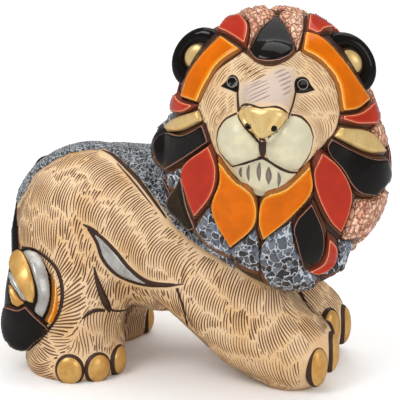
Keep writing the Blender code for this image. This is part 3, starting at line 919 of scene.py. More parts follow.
# Which way the hair lies: a place on the sheet and the angle there, in degrees up from the right.
hairLies = [
    (30, 215, 96), (35, 200, 92), (50, 180, 84), (60, 220, 92), (45, 235, 98), (75, 195, 82),
    (90, 178, 62), (105, 168, 38), (118, 168, 24), (100, 200, 64), (86, 218, 84), (120, 190, 44),
    (135, 190, 28), (140, 212, 38), (152, 212, 26), (110, 215, 60), (120, 236, 62), (132, 224, 55),
    (150, 236, 50), (166, 236, 40), (182, 242, 32), (196, 254, 34), (150, 262, 72), (166, 276, 80),
    (180, 266, 66), (195, 264, 52), (60, 248, 66), (75, 250, 82), (86, 266, 86), (70, 276, 42),
    (80, 290, 44), (90, 290, 62), (70, 300, 26), (68, 320, 8), (60, 332, -4), (48, 342, -24),
    (40, 352, -34), (50, 366, 36), (66, 372, 20), (90, 372, 70), (200, 286, 68), (210, 275, 70),
    (235, 288, 74), (250, 296, 76), (270, 306, 80), (196, 316, 58), (215, 332, 78), (236, 332, 86),
    (256, 330, 98), (118, 297, 95), (140, 299, 92), (160, 301, 88), (178, 303, 80), (95, 325, 100),
    (110, 325, 92), (120, 330, 85), (85, 336, 112), (105, 345, 90), (270, 330, 108), (286, 325, 122),
    (300, 318, 132), (312, 308, 142), (275, 356, 100), (290, 350, 110), (250, 362, 94), (230, 350, 86),
    (300, 368, 100), (270, 376, 96), (322, 300, 160), (330, 312, 148),
]
fur = {"spacing": 0.84, "step": 0.6, "length": (7, 12), "across": (7, 20), "bend": 30, "seed": 12,
       "reach": 0.64, "width": 0.4, "lift": 0.03, "depth": 0.28, "entries": 0.35, "entry": 2.3}
furZones = {  # hair that is cut otherwise: longer, thicker or wider apart
    "shank": {"length": (7, 11), "spacing": 0.95, "girth": 0.9},
    "belly": {"length": (5, 7), "spacing": 1.25, "girth": 1.4},
    "heel": {"length": (7, 11), "spacing": 1.0, "girth": 1.2},
    "paw": {"length": (6, 11), "spacing": 0.9, "girth": 0.72},
}
# How far hair stays from other things, and how far over the middle the near side's own forms reach.
furClear = {"back": 1.4, "ground": 0.7, "ridge": 6.5, "leaf": 3.2, "claws": 0.7, "forms": 0.5, "near": 2}
guides = {"power": 3.0, "soft": 20}  # how steeply a guide's pull falls off, and how evenly close to it
# How all hair is laid: room round a group's start, shares of length and girth, and how often and how far
# strokes start thick. Whole groups grow from a sixth of the places, and short ones fill what is bare.
grouping = {"apart": 0.8, "lengths": (0.88, 1.1), "girths": (0.8, 1.1), "entry": 1.3, "entryFall": 2.6,
            "turned": 0.6, "shifts": (-0.3, 0.3), "parts": (0.38, 0.62), "wholeOf": 6, "wholeLeast": 4,
            "fillAcross": (1, 3), "fillLeast": 3}
# Darker brown on the body, partly painted shade: how strong it is, and how far it reaches.
bodyStainAndShade = {"soles": (0.35, 2.5), "back": (0.5, 3.0), "shank": (0.12, 4), "farShankShadow": 0.25}


def nearSide(points):
    # Points of the far side moved to their twins on the near side.
    twins = np.array(points)
    twins[:, 1] = -np.abs(twins[:, 1])
    return twins


# Claws: each toe's angle from straight ahead and its height, a claw's radii and how far it is set in.
clawForms = {
    "hind": {"toes": ((-78, 4), (-44, 4), (-10, 4.5)), "radii": (2.6, 4.3, 4.8), "setIn": 1.0},
    "fore": {"toes": ((-38, 8.5), (0, 11), (38, 12)), "radii": (2.4, 3.6, 6.2), "setIn": 0.9},
}


def clawPlaces():
    # Where each claw is, as a matrix, with its radii.
    places = []
    for side in (-1, 1):
        flip = Matrix.Diagonal((1, -side, 1, 1))
        for leg, form in zip(legStations(side), clawForms.values()):
            centre, radii = leg[-1]
            for toe, height in form["toes"]:
                a = math.radians(toe)
                at = (centre[0] + (radii[0] - form["setIn"]) * math.cos(a),
                      centre[1] + (radii[1] - form["setIn"]) * math.sin(a), height)
                places.append((flip @ Matrix.Translation(at) @ Matrix.Rotation(a, 4, "Z"), form["radii"]))
    return places


claws = clawPlaces()
bodySquares = onSheet(nearSide(bodySkin.points))
roughDepth = signedDepth(bodySquares, body["backLine"])


def furGround():
    # For each point of the body: whether hair is cut there, its zone and the way it lies.
    squares, points = bodySquares, bodySkin.points
    free = (roughDepth < -furClear["back"]) & (points[:, 2] > furClear["ground"])
    free &= sideDistance(squares, body["ridge"], closed=False) > furClear["ridge"]
    near = points[:, 1] < furClear["near"]
    free &= ~(near & (signedDepth(squares, body["leaf"]) > -furClear["leaf"]))
    free &= ~(signedDepth(squares, body["paws"]) > 0)
    for matrix, radii in claws:
        away = (np.c_[points, np.ones(len(points))] @ np.array(matrix.inverted()).T)[:, :3]
        free &= ((away / (np.array(radii) + furClear["claws"])) ** 2).sum(1) > 1
    # Each other form, with the stretch of x that it may cover.
    for other, low, high in ((headSkin, -12, 99), (tuftSkin, -99, -30), (tailSkin, -99, -40)):
        for i in np.flatnonzero(free & (points[:, 0] > low) & (points[:, 0] < high)):
            free[i] = not other.inside(Vector(points[i]), furClear["forms"])
    zones = np.array([""] * len(points), dtype=object)
    for zone in furZones:
        zones[near & (signedDepth(squares, body[zone]) > 0)] = zone
    return free, zones, hairWays(squares, hairLies)


def hairWays(squares, lies):
    # The way that hair lies in each of the squares, read from the guides near it.
    ways = np.zeros((len(squares), 2))
    for x, y, angle in lies:
        weight = 1 / (((squares - (x, y)) ** 2).sum(1) + guides["soft"]) ** (guides["power"] / 2)
        ways += weight[:, None] * (math.cos(math.radians(angle)), math.sin(math.radians(angle)))
    return ways / np.linalg.norm(ways, axis=1)[:, None]


class Comb:
    # Strokes laid side by side on a skin, in groups, wherever it is free and there is still room.
    def __init__(self, skin, look, free, zones, lies, mirrored):
        self.skin, self.look, self.free, self.zones, self.lies = skin, look, free, zones, lies
        self.mirrored = mirrored
        self.draw = random.Random(look["seed"])
        self.taken, self.runs = {}, []

    def cell(self, point):
        size = self.look["spacing"]
        return int(point.x // size), int(point.y // size), int(point.z // size)

    def crowded(self, point, reach):
        x, y, z = self.cell(point)
        spread = 1 if reach < self.look["spacing"] else 2
        steps = range(-spread, spread + 1)
        for key in [(x + i, y + j, z + k) for i in steps for j in steps for k in steps]:
            for other in self.taken.get(key, ()):
                if (other - point).length_squared < reach * reach:
                    return True
        return False

    def wayAt(self, face, place, normal, turn):
        across, up = self.lies[self.skin.corners[face][0]]
        way = sheetRight * across + sheetUp * up
        far = self.mirrored and place.y > 0
        if far:
            way.y = -way.y
        way = (way - normal * way.dot(normal)).normalized()
        return Matrix.Rotation(math.radians(turn) * (-1 if far else 1), 3, normal) @ way

    def open(self, place, face, spacing):
        return self.free[self.skin.corners[face][0]] and not self.crowded(place, spacing * self.look["reach"])

    def stroke(self, start, length, spacing):
        # A run of places on both sides of the start along the hair, as far as there is room.
        step, bend = self.look["step"], self.look["bend"]
        middle = self.skin.nearest(start)
        if not self.open(middle[0], middle[2], spacing):
            return []
        halves = []
        part = self.draw.uniform(*grouping["parts"])
        for sign, share in ((-1, part), (1, 1 - part)):
            run = []
            place, normal, face = middle
            for k in range(round(length * share / step)):
                way = self.wayAt(face, place, normal, -sign * bend * k * step / length)
                place, normal, face = self.skin.nearest(place + way * step * sign)
                if not self.open(place, face, spacing):
                    break
                run.append((place, normal))
            halves.append(run)
        return halves[0][::-1] + [middle[:2]] + halves[1]

    def keep(self, run, girth, entry, turned):
        for place, _ in run:
            self.taken.setdefault(self.cell(place), []).append(place)
        kept = run[:-1:2] + run[-1:]
        fall = grouping["entryFall"] / len(kept)
        shape = [t * (1 + (entry - 1) * max(0, 1 - fall * i)) for i, t in enumerate(tapered(len(kept)))]
        if turned:
            shape.reverse()
        self.runs.append([(place, normal, girth * t) for (place, normal), t in zip(kept, shape)])

    def groups(self, seeds, across, least):
        for seed in seeds:
            zone = furZones.get(self.zones[seed]) or dict(self.look, girth=1.0)
            spacing = zone["spacing"]
            start = Vector(self.skin.points[seed])
            if not self.free[seed] or self.crowded(start, spacing * grouping["apart"]):
                continue
            length = self.draw.uniform(*zone["length"])
            entry = self.look["entry"] if self.draw.random() < self.look["entries"] else grouping["entry"]
            turned = self.draw.random() < grouping["turned"]
            for side in (1, -1):
                at = start
                for _ in range(self.draw.randint(*across)):
                    run = self.stroke(at, length * self.draw.uniform(*grouping["lengths"]), spacing)
                    if len(run) < least:
                        break
                    self.keep(run, zone["girth"] * self.draw.uniform(*grouping["girths"]), entry, turned)
                    middle, normal = run[len(run) // 2]
                    face = self.skin.nearest(middle)[2]
                    way = self.wayAt(face, middle, normal, 0)
                    shift = self.draw.uniform(*grouping["shifts"])
                    at = middle + normal.cross(way) * spacing * side + way * shift

    def combed(self):
        # Whole groups first, then shorter strokes in what is still bare.
        seeds = self.draw.sample(range(len(self.skin.points)), len(self.skin.points))
        whole = seeds[: len(seeds) // grouping["wholeOf"]]
        self.groups(whole, self.look["across"], grouping["wholeLeast"])
        self.groups(seeds, grouping["fillAcross"], grouping["fillLeast"])
        return self.runs


def cutLevel(mesh):
    # What is below the ground cut off, and the cut closed.
    bm = bmesh.new()
    bm.from_mesh(mesh)
    cut = bmesh.ops.bisect_plane(bm, geom=bm.verts[:] + bm.edges[:] + bm.faces[:],
                                 plane_co=(0, 0, 0), plane_no=(0, 0, -1), clear_outer=True)
    edges = [e for e in cut["geom_cut"] if isinstance(e, bmesh.types.BMEdge)]
    bmesh.ops.holes_fill(bm, edges=edges, sides=0)
    bm.to_mesh(mesh)
    bm.free()
    return mesh


def stainAndShadeBody():
    # Darker brown towards the ground and along the rough back's edge, painted shade on the near hind shank
    # and painted shadow on the far hind leg.
    points = bodySkin.points
    strength, reach = bodyStainAndShade["soles"]
    stain = strength * np.clip(1 - points[:, 2] / reach, 0, 1)
    strength, reach = bodyStainAndShade["back"]
    stain += strength * np.clip(1 - np.abs(roughDepth) / reach, 0, 1)
    # Painted shade on the near hind shank.
    strength, reach = bodyStainAndShade["shank"]
    stain += strength * np.clip(signedDepth(bodySquares, body["shank"]) / reach, 0, 1)
    # Painted shadow on the lower far hind leg.
    far = (points[:, 1] > 6) & (points[:, 2] < 30) & (points[:, 0] < -15)
    return stain + bodyStainAndShade["farShankShadow"] * far


def makeBody():
    mesh = bodySkin.mesh
    # The stain value also carries the painted shade and shadow on the hind legs.
    mesh.attributes.new("stain", "FLOAT", "POINT").data.foreach_set("value", stainAndShadeBody())
    finish("body", cutLevel(mesh.copy()), creamClay)
    hair = Comb(bodySkin, fur, *furGround(), mirrored=True).combed()
    print("strokes:", len(hair))
    half = [run for run in hair if run[0][0].y < 0]
    other = [run for run in hair if run[0][0].y >= 0]
    strokes("near_hair", half, fur, strokeStain)
    strokes("far_hair", other, fur, strokeStain)


makeBody()

# The rough slip along the back and behind the shoulder.
back = {"fine": 1, "lift": 0.9, "sunk": 0.8, "crinkle": 1.25, "crinkleDepth": 0.75, "edge": 1.6,
        "edgeLeast": 0.3, "ragged": 1.2, "rag": 2.2, "maneFrom": -12, "underMane": 3.0}


def makeBack():
    rags = np.array([noise.noise(Vector(point) / back["rag"]) for point in bodySkin.points])
    inside = roughDepth + rags * back["ragged"] > 0
    bm = bmesh.new()
    bm.from_mesh(bodySkin.mesh)
    bm.verts.ensure_lookup_table()
    hidden = np.zeros(len(bodySkin.points), bool)
    for i in np.flatnonzero(inside & (bodySkin.points[:, 0] > back["maneFrom"])):
        hidden[i] = headSkin.inside(Vector(bodySkin.points[i]), -back["underMane"])
    inside &= ~hidden
    drop = [v for v, keep in zip(bm.verts[:], inside) if not keep]
    bmesh.ops.delete(bm, geom=drop, context="VERTS")
    bmesh.ops.subdivide_edges(bm, edges=bm.edges[:], cuts=back["fine"], use_grid_fill=True)
    bm.normal_update()
    bm.verts.index_update()
    points = [v.co.copy() for v in bm.verts]
    normals = [v.normal.copy() for v in bm.verts]
    faces = [[v.index for v in f.verts] for f in bm.faces]
    bm.free()
    depths = signedDepth(onSheet(nearSide(points)), body["backLine"])
    tops, roots, hollows = [], [], []
    for point, normal, depth in zip(points, normals, depths):
        share = min(1, max(back["edgeLeast"], depth / back["edge"]))
        hollow = ridges(point, back["crinkle"])
        tops.append(point + normal * (back["lift"] - hollow * back["crinkleDepth"]) * share)
        roots.append(point - normal * back["sunk"])
        hollows.append(hollow)
    count = len(points)
    sides = {(a, b) for face in faces for a, b in zip(face, face[1:] + face[:1])}
    closed = faces + [[i + count for i in reversed(face)] for face in faces]
    closed += [[b, a, a + count, b + count] for a, b in sides if (b, a) not in sides]
    batch = Batch("hollow")
    batch.add(tops + roots, closed, hollow=hollows * 2)
    finish("rough_back", batch.mesh("rough_back"), greySlip)


makeBack()

# The mane: raised locks on the dark ground of the head.
locks = {
    "black": [
        [(277, 14), (260, 29), (248, 51), (257, 61), (270, 63), (284, 60), (294, 51), (290, 33)],
        [(204, 123), (210, 142), (184, 160), (166, 171), (155, 158), (154, 141), (165, 132), (182, 134)],
        [
            (331, 137), (352, 149), (374, 158), (388, 158), (391, 178), (376, 197), (358, 193),
            (341, 170), (326, 147),
        ],
        [(312, 201), (325, 236), (320, 261), (303, 271), (296, 244), (293, 226)],
    ],
    "red": [
        [(216, 30), (228, 17), (241, 14), (249, 25), (246, 47), (236, 40), (226, 34)],
        [(308, 13), (322, 16), (341, 31), (324, 31), (319, 35), (306, 31)],
        [(178, 90), (180, 98), (198, 105), (184, 113), (171, 113), (170, 102)],
        [(341, 115), (360, 111), (376, 97), (382, 113), (377, 125), (357, 125), (341, 121)],
        [(210, 143), (218, 168), (214, 193), (195, 219), (186, 196), (181, 170)],
        [(319, 151), (326, 153), (352, 190), (350, 212), (341, 234), (328, 220), (312, 172)],
        [(328, 234), (338, 248), (334, 266), (318, 275), (305, 271), (322, 261)],
    ],
    "orange": [
        [(221, 35), (241, 49), (220, 64), (206, 86), (198, 103), (180, 97), (188, 74), (203, 53)],
        [
            (305, 31), (320, 36), (342, 58), (360, 83), (371, 99), (358, 109), (342, 112), (335, 80),
            (318, 60), (302, 51),
        ],
        [(217, 155), (235, 179), (253, 193), (256, 223), (230, 249), (211, 208), (219, 180)],
        [(310, 163), (313, 190), (295, 214), (263, 241), (258, 222), (264, 196), (284, 187)],
    ],
    "gold": [
        [(198, 110), (202, 121), (180, 131), (167, 132), (164, 126), (172, 119)],
        [(341, 127), (371, 132), (388, 152), (372, 153), (334, 137)],
    ],
    "coral": [
        [(237, 14), (247, 8), (262, 6), (277, 14), (259, 28), (247, 48), (250, 28), (246, 17)],
        [(279, 13), (291, 9), (304, 12), (303, 32), (298, 49), (289, 30)],
        [(383, 112), (389, 130), (390, 150), (373, 131)],
        [(389, 188), (383, 215), (365, 235), (343, 240), (348, 224), (357, 200), (375, 199)],
    ],
    "grey": [
        [(207, 209), (219, 231), (232, 258), (210, 247), (194, 229)],
        [(230, 252), (255, 231), (259, 254), (258, 273), (238, 264)],
        [(262, 246), (291, 223), (297, 254), (318, 280), (310, 294), (290, 294), (266, 281)],
        [(340, 242), (354, 244), (352, 258), (333, 274), (322, 276), (337, 264)],
        [(164, 111), (171, 112), (170, 119), (163, 126), (159, 124)],
        [(166, 174), (180, 168), (181, 178), (175, 190), (167, 186)],
    ],
}
# One lock hangs over the shoulder, on a plane of its own.
shoulder = {
    "outline": [
        (182, 170), (185, 190), (189, 208), (197, 228), (189, 231), (177, 221), (166, 208), (166, 199),
        (174, 187),
    ],
    "rests": [((184, 178), 33.5), ((166, 203), 19.5), ((196, 229), 27)], "height": 2.0, "sunk": 5.0,
}
lockLooks = {
    "smooth": {"step": 0.42, "gap": 0.0, "base": 0.8, "height": 2.3, "edge": 1.3, "sunk": 2.0},
    "rough": {"step": 0.42, "gap": 0.0, "base": 0.8, "height": 2.3, "edge": 1.0, "sunk": 2.0, "crinkle": 1.9,
              "crinkleDepth": 0.6},
    "tuft": {"step": 0.42, "gap": 0.0, "base": 0.7, "height": 1.9, "edge": 0.9, "sunk": 2.0, "crinkle": 2.7,
             "crinkleDepth": 0.8},
    "bed": {"step": 0.6, "gap": -1.0, "base": 0.05, "height": 0.85, "edge": 1.0, "sunk": 2.0},
}
lockAims = {"pad": 1.4, "bed": 0.5}  # the height at which each is seen in its own squares
groundShare = 0.3  # of the head's faces that the ground under the locks keeps
lockFinishes = {
    "black": ("black_glaze", blackGlaze, "smooth"), "red": ("red_glaze", redGlaze, "smooth"),
    "orange": ("orange_glaze", orangeGlaze, "smooth"), "gold": ("gold_lustre", goldLustre, "smooth"),
    "coral": ("coral_texture", coralSlip, "rough"), "grey": ("grey_blue_texture", blueSlip, "tuft"),
}
# Locks on the back of the mane, in rings round the way the sheet is seen: angle from it, how many, size and
# finishes in turn.
backLocks = {
    "rings": [
        (106, 13, 20, ("coral", "red", "red", "coral", "coral", "red", "red", "black", "black", "grey",
                       "grey", "coral", "black")),
        (128, 11, 21, ("orange", "black", "coral", "red")),
        (150, 7, 22, ("coral", "red", "grey")),
        (172, 3, 18, ("grey", "black", "coral")),
    ],
    "above": 38, "outside": 80, "width": 0.64, "hover": 12, "droop": 0.6, "step": 0.65, "lower": 1.2,
}


def leafShape(length, width):
    # A lock's outline, point downwards.
    half = [(0, -0.5), (0.42, -0.1), (0.5, 0.25), (0.2, 0.5)]
    shares = half + [(-x, y) for x, y in half[:0:-1]]
    return [(width * x, length * y) for x, y in shares]


def addBackLocks(batches):
    axes = Matrix((sheetRight, sheetUp, sheetBack)).transposed()
    centre = Vector(headForms["centre"])
    for number, (fromAxis, count, length, finishes) in enumerate(backLocks["rings"]):
        for i in range(count):
            around, tilt = math.tau * (i + 0.5 * (number % 2)) / count, math.radians(fromAxis)
            wide = math.sin(tilt)
            out = axes @ Vector((wide * math.cos(around), wide * math.sin(around), math.cos(tilt)))
            hit = headSkin.along(centre + out * backLocks["outside"], -out)
            if not hit or hit[0].z < backLocks["above"]:
                continue
            at, normal = hit
            down = Vector((0, 0, -1)) + normal * normal.z - axes @ Vector((0, 0, 1)) * backLocks["droop"]
            down = (down - normal * down.dot(normal)).normalized()
            across = normal.cross(down)

            def onSkin(point, at=at, normal=normal, down=down, across=across):
                start = at + across * point[0] - down * point[1] + normal * backLocks["hover"]
                return headSkin.along(start, -normal) or headSkin.nearest(start)[:2]

            name = finishes[i % len(finishes)]
            look = dict(lockLooks[lockFinishes[name][2]], step=backLocks["step"])
            look["height"] -= backLocks["lower"] * max(0, -math.cos(around))
            pad(batches[name], leafShape(length, length * backLocks["width"]), onSkin, look, square=1)


def grooveLimit(own, every):
    # For points round one outline: how far they are from the middle of the groove to the next one.
    def limit(flat):
        outside = [np.maximum(0, -signedDepth(flat, other)) for other in every if other != own]
        return np.maximum(0, np.min(outside, axis=0) - np.maximum(0, -signedDepth(flat, own))) / 2
    return limit


def makeMane():
    ground = linked("ground", headSkin.mesh.copy())
    ground.modifiers.new("fewer", "DECIMATE").ratio = groundShare
    mesh = evaluated(ground)
    mesh.attributes.new("stain", "FLOAT", "POINT")
    finish("mane_ground", mesh, grooveClay)
    batches = {name: Batch("depth", "hollow") for name in locks}
    beds = Batch("depth")
    drawnLocks = [rounded(outline, 2) for outlines in locks.values() for outline in outlines]
    for name, outlines in locks.items():
        look = lockLooks[lockFinishes[name][2]]
        for outline in outlines:
            pad(batches[name], outline, aimed(headSkin.thrown, lockAims["pad"]), look)
            bed = dict(lockLooks["bed"], limit=grooveLimit(rounded(outline, 2), drawnLocks))
            pad(beds, outline, aimed(headSkin.thrown, lockAims["bed"]), bed)
    look = dict(lockLooks["smooth"], height=shoulder["height"], sunk=shoulder["sunk"])
    pad(batches["black"], shoulder["outline"], aimed(planeThrough(shoulder["rests"]), lockAims["pad"]), look)
    addBackLocks(batches)
    finish("mane_beds", beds.mesh("beds"), bedClay)
    for name, batch in batches.items():
        slot, material, _ = lockFinishes[name]
        finish("mane_" + name, batch.mesh(name), material)


makeMane()
print("body and mane made")

# The face, as things cover each other: the clay, then muzzle, chin, nose and eyes on it.
face = {
    "outline": [
        (198, 110), (203, 121), (214, 148), (226, 166), (239, 180), (254, 191), (271, 193), (285, 183),
        (298, 172), (317, 151), (333, 135), (340, 112), (340, 96), (333, 75), (300, 50), (270, 66),
        (243, 52), (213, 75),
    ],
    "look": {"step": 0.38, "gap": 0.05, "height": 0.6, "edge": 0.8, "sunk": 2.0},
    "bridge": [[(237, 90), (238, 100), (239, 111)], [(296, 93), (293, 104), (289, 114)]],
    "bridgeDepth": 0.3, "bridgeWidth": 5,
    "sockets": [[(230, 82), (235, 82)], [(300, 84), (307, 84)]],
    "socketDepth": 0.35, "socketWidth": 11, "patchFade": 9, "patchStart": 0.4,
    "clear": {"edge": 2.0, "faced": 0.15, "patch": 1, "features": 2.2, "bridge": 2.0},
    "patch": [
        (243, 84), (262, 78), (280, 66), (294, 70), (294, 92), (288, 108), (262, 106), (241, 106),
        (240, 94),
    ],
}
features = {
    "muzzle": [
        [
            (236, 115), (225, 121), (219.5, 130), (217.5, 139), (220.5, 150), (226, 159), (233, 165),
            (246, 161.5), (258, 157), (259.5, 149), (258.5, 142), (251, 135), (243, 126),
        ],
        [
            (291, 116), (286, 121), (278, 130), (269, 137.5), (265.5, 143), (265.5, 151), (268, 158.5),
            (278, 165.5), (290, 170.5), (297, 170), (306.5, 158), (311.5, 147), (312, 135.5), (308, 126),
            (300, 118),
        ],
    ],
    "chin": [
        (232, 167), (246, 162), (262, 158), (280, 168), (297, 173), (291, 180), (279, 191), (266, 196),
        (253, 193), (240, 181),
    ],
    "nose": [
        (238.5, 111), (241, 108), (248, 107), (256, 107.6), (261, 108.6), (267, 107.8), (276, 107.8),
        (283, 110.5), (288, 115.5), (286, 119.5), (282, 126), (275, 132), (267, 137), (261.5, 138.5),
        (254, 134), (246, 128), (241, 121), (238.5, 115),
    ],
    "philtrum": [
        (259, 138), (265.5, 139.5), (266.5, 147), (265, 155), (262.5, 161), (260, 154), (258.3, 146),
    ],
    "eyes": [
        [
            (220.5, 86.3), (226, 80.5), (228.5, 76.5), (232, 74.6), (235.8, 76), (238.2, 80), (238.8, 86),
            (238, 93), (227, 89),
        ],
        [
            (295, 82), (297, 78.4), (300.5, 76.8), (304.2, 76.8), (308, 79), (310.5, 83.5), (315, 90),
            (303, 93.2), (295, 92.5),
        ],
    ],
    "iris": [(231.6, 82), (303.2, 84.4)], "irisRadius": 5.0,
    "nostrils": [(248.4, 126), (273.6, 128.3)], "nostrilRadius": 3.6,
}
featureLooks = {
    "muzzle": {"step": 0.5, "gap": -0.1, "base": 0.05, "height": 0.7, "edge": 1.8, "sunk": 1.0},
    "chin": {"step": 0.5, "gap": -0.1, "base": 0.05, "height": 0.4, "edge": 0.9, "sunk": 1.0},
    "nose": {"step": 0.4, "gap": -0.05, "base": 0.3, "height": 1.1, "edge": 2.2, "sunk": 1.0},
    "philtrum": {"step": 0.4, "gap": 0.0, "base": 0.3, "height": 0.7, "edge": 0.6, "sunk": 1.0},
    "eyes": {"step": 0.35, "gap": 0.0, "base": 0.1, "height": 0.6, "edge": 1.1, "sunk": 1.0},
    "nostrils": {"step": 0.35, "gap": 0.0, "base": 0.95, "height": 1.14, "edge": 0.5, "sunk": 1.0},
}
faceLines = {  # lines cut in the face, with how wide each is at its points, in squares
    "left cheek": ([(237, 113.5), (226, 119.5), (219, 129), (216.6, 140)], (2.6, 2.6, 1.8, 1.0)),
    "right cheek": ([(291, 115), (301, 117.5), (309.5, 126), (313.3, 137)], (2.8, 3.0, 1.8, 1.0)),
    "left muzzle": ([(216.6, 140), (220, 152), (232, 166)], (1.0, 1.0, 2.0)),
    "right muzzle": ([(313.3, 137), (309, 155), (298, 171)], (1.0, 1.0, 1.6)),
    "left bridge": ([(237.5, 91), (237.5, 100), (238.5, 111)], (2.6, 2.2, 2.6)),
    "right bridge": ([(295.5, 92), (293, 104), (289, 115)], (3.2, 2.8, 2.2)),
    "nose top": (
        [
            (239.5, 109), (241.5, 106.4), (246, 104.6), (253, 105.8), (260, 108), (268, 107.4),
            (276, 106.8), (283, 109.4), (289, 114.6),
        ],
        (1.4, 2.2, 2.4, 2.2, 2.0, 1.6, 2.0, 1.6, 2.0),
    ),
    "left nose": (
        [(238, 113), (241, 121), (246, 128.6), (253, 135.5), (260, 141)],
        (2.0, 2.0, 2.6, 3.6, 4.0),
    ),
    "right nose": ([(289, 115), (285, 123), (278, 130.5), (268, 138)], (2.0, 1.8, 1.6, 1.6)),
    "left mouth": ([(232, 166), (245, 162.5), (257, 158.5), (263, 158)], (2.4, 3.2, 3.4, 2.4)),
    "right mouth": (
        [(263, 158), (270, 161.5), (280, 167.5), (290, 171.5), (298, 172)],
        (2.4, 3.0, 3.6, 3.4, 2.0),
    ),
}
# The way the face is combed: a place and the angle there, in degrees up from the right.
faceLies = [
    (215, 75, 55), (230, 62, 32), (250, 60, 25), (250, 75, 28), (205, 105, 62), (225, 100, 38),
    (222, 110, 40), (207, 130, 80), (214, 150, 105), (226, 168, 130), (300, 60, -25), (320, 72, -48),
    (332, 95, -68), (310, 100, -38), (325, 110, -52), (338, 120, -80), (330, 140, -100), (318, 150, -115),
    (300, 170, -140), (267, 70, 10),
]
combing = {"spacing": 0.8, "step": 0.5, "length": (4.5, 8.5), "across": (4, 10), "bend": 16, "seed": 5,
           "reach": 0.64, "width": 0.27, "lift": 0.03, "depth": 0.25, "entries": 0, "entry": 1}
dashes = {  # longer dashes on the forehead and the bridge
    "brown": [
        [(238, 68), (246, 64)], [(241, 71.5), (252, 66)], [(244, 75), (257, 68)],
        [(247, 78.5), (261, 71)], [(251, 82), (266, 74.5)],
    ],
    "mauve": [
        [(250, 86), (262, 80)], [(246, 90), (268, 80)], [(247, 93.5), (269, 83)], [(249, 97), (270, 87)],
        [(248, 101), (268, 91)], [(252, 103.5), (270, 95)], [(274, 74), (285, 69)],
        [(276, 78), (289, 72)], [(278, 82), (291, 76)], [(280, 86), (292, 80)], [(282, 90), (292, 85)],
        [(283, 95), (291, 90)],
    ],
}
# The chin's marks, each where it is across and from where to where down.
spindles = [
    (241.6, 167, 177.5), (249.2, 165, 181.5), (259.5, 162.5, 181.5), (268.6, 167, 184.5), (278, 172, 187),
]
faceStrokes = {
    "irises": {"width": 0.26, "lift": 0.02, "depth": 0.3, "closed": True, "step": 0.9, "over": 0.03},
    "lines": {"width": 1.1, "lift": 0.3, "depth": 0.9},
    "dashes": {"width": 0.46, "lift": 0.05, "depth": 0.3},
    "spindles": {"width": 1.7, "lift": 0.1, "depth": 0.4, "step": 1.2, "over": 0.02, "ends": 0.06},
}


def lineShare(points, line, width):
    # 1 on a line of the sheet, falling to 0 at a distance of width from it.
    share = np.clip(1 - sideDistance(points, line, closed=False) / width, 0, 1)
    return share * share * (3 - 2 * share)


def faceRelief(points):
    relief = np.zeros(len(points))
    for line in face["bridge"]:
        relief -= face["bridgeDepth"] * lineShare(points, line, face["bridgeWidth"])
    for line in face["sockets"]:
        relief -= face["socketDepth"] * lineShare(points, line, face["socketWidth"])
    return relief


def onFace(point):
    # A point of the sheet on the top of the face's clay, which rises towards the sheet.
    place, normal = aimed(headSkin.thrown, face["look"]["height"])(point)
    return place + normal * (face["look"]["height"] + faceRelief([point])[0]), sheetBack


def onHeight(lay, height):
    def laid(point):
        place, normal = lay(point)
        return place + normal * height, normal
    return laid


def faceGround():
    # Where the face's clay is combed, and the way it lies.
    squares, clear = onSheet(headSkin.points), face["clear"]
    free = signedDepth(squares, face["outline"]) > clear["edge"]
    free &= headSkin.normals @ np.array(sheetBack) > clear["faced"]
    free &= signedDepth(squares, face["patch"]) < -clear["patch"]
    for outline in (*features["muzzle"], features["chin"], features["nose"], *features["eyes"]):
        free &= signedDepth(squares, outline) < -clear["features"]
    for line in face["bridge"]:
        free &= sideDistance(squares, line, closed=False) > clear["bridge"]
    zones = np.array([""] * len(squares), dtype=object)
    return free, zones, hairWays(squares, faceLies)


def raised(run):
    # A run on the head's skin brought up to the top of the face's clay.
    rises = faceRelief(onSheet([place for place, _, _ in run])) + face["look"]["height"]
    return [(place + normal * rise, normal, thick) for (place, normal, thick), rise in zip(run, rises)]


def roundOutline(centre, radius, count=14):
    turns = [math.tau * i / count for i in range(count)]
    return [(centre[0] + radius * math.cos(turn), centre[1] + radius * math.sin(turn)) for turn in turns]


def patchShare(flat):
    return np.clip(signedDepth(flat, face["patch"]) / face["patchFade"] + face["patchStart"], 0, 1)


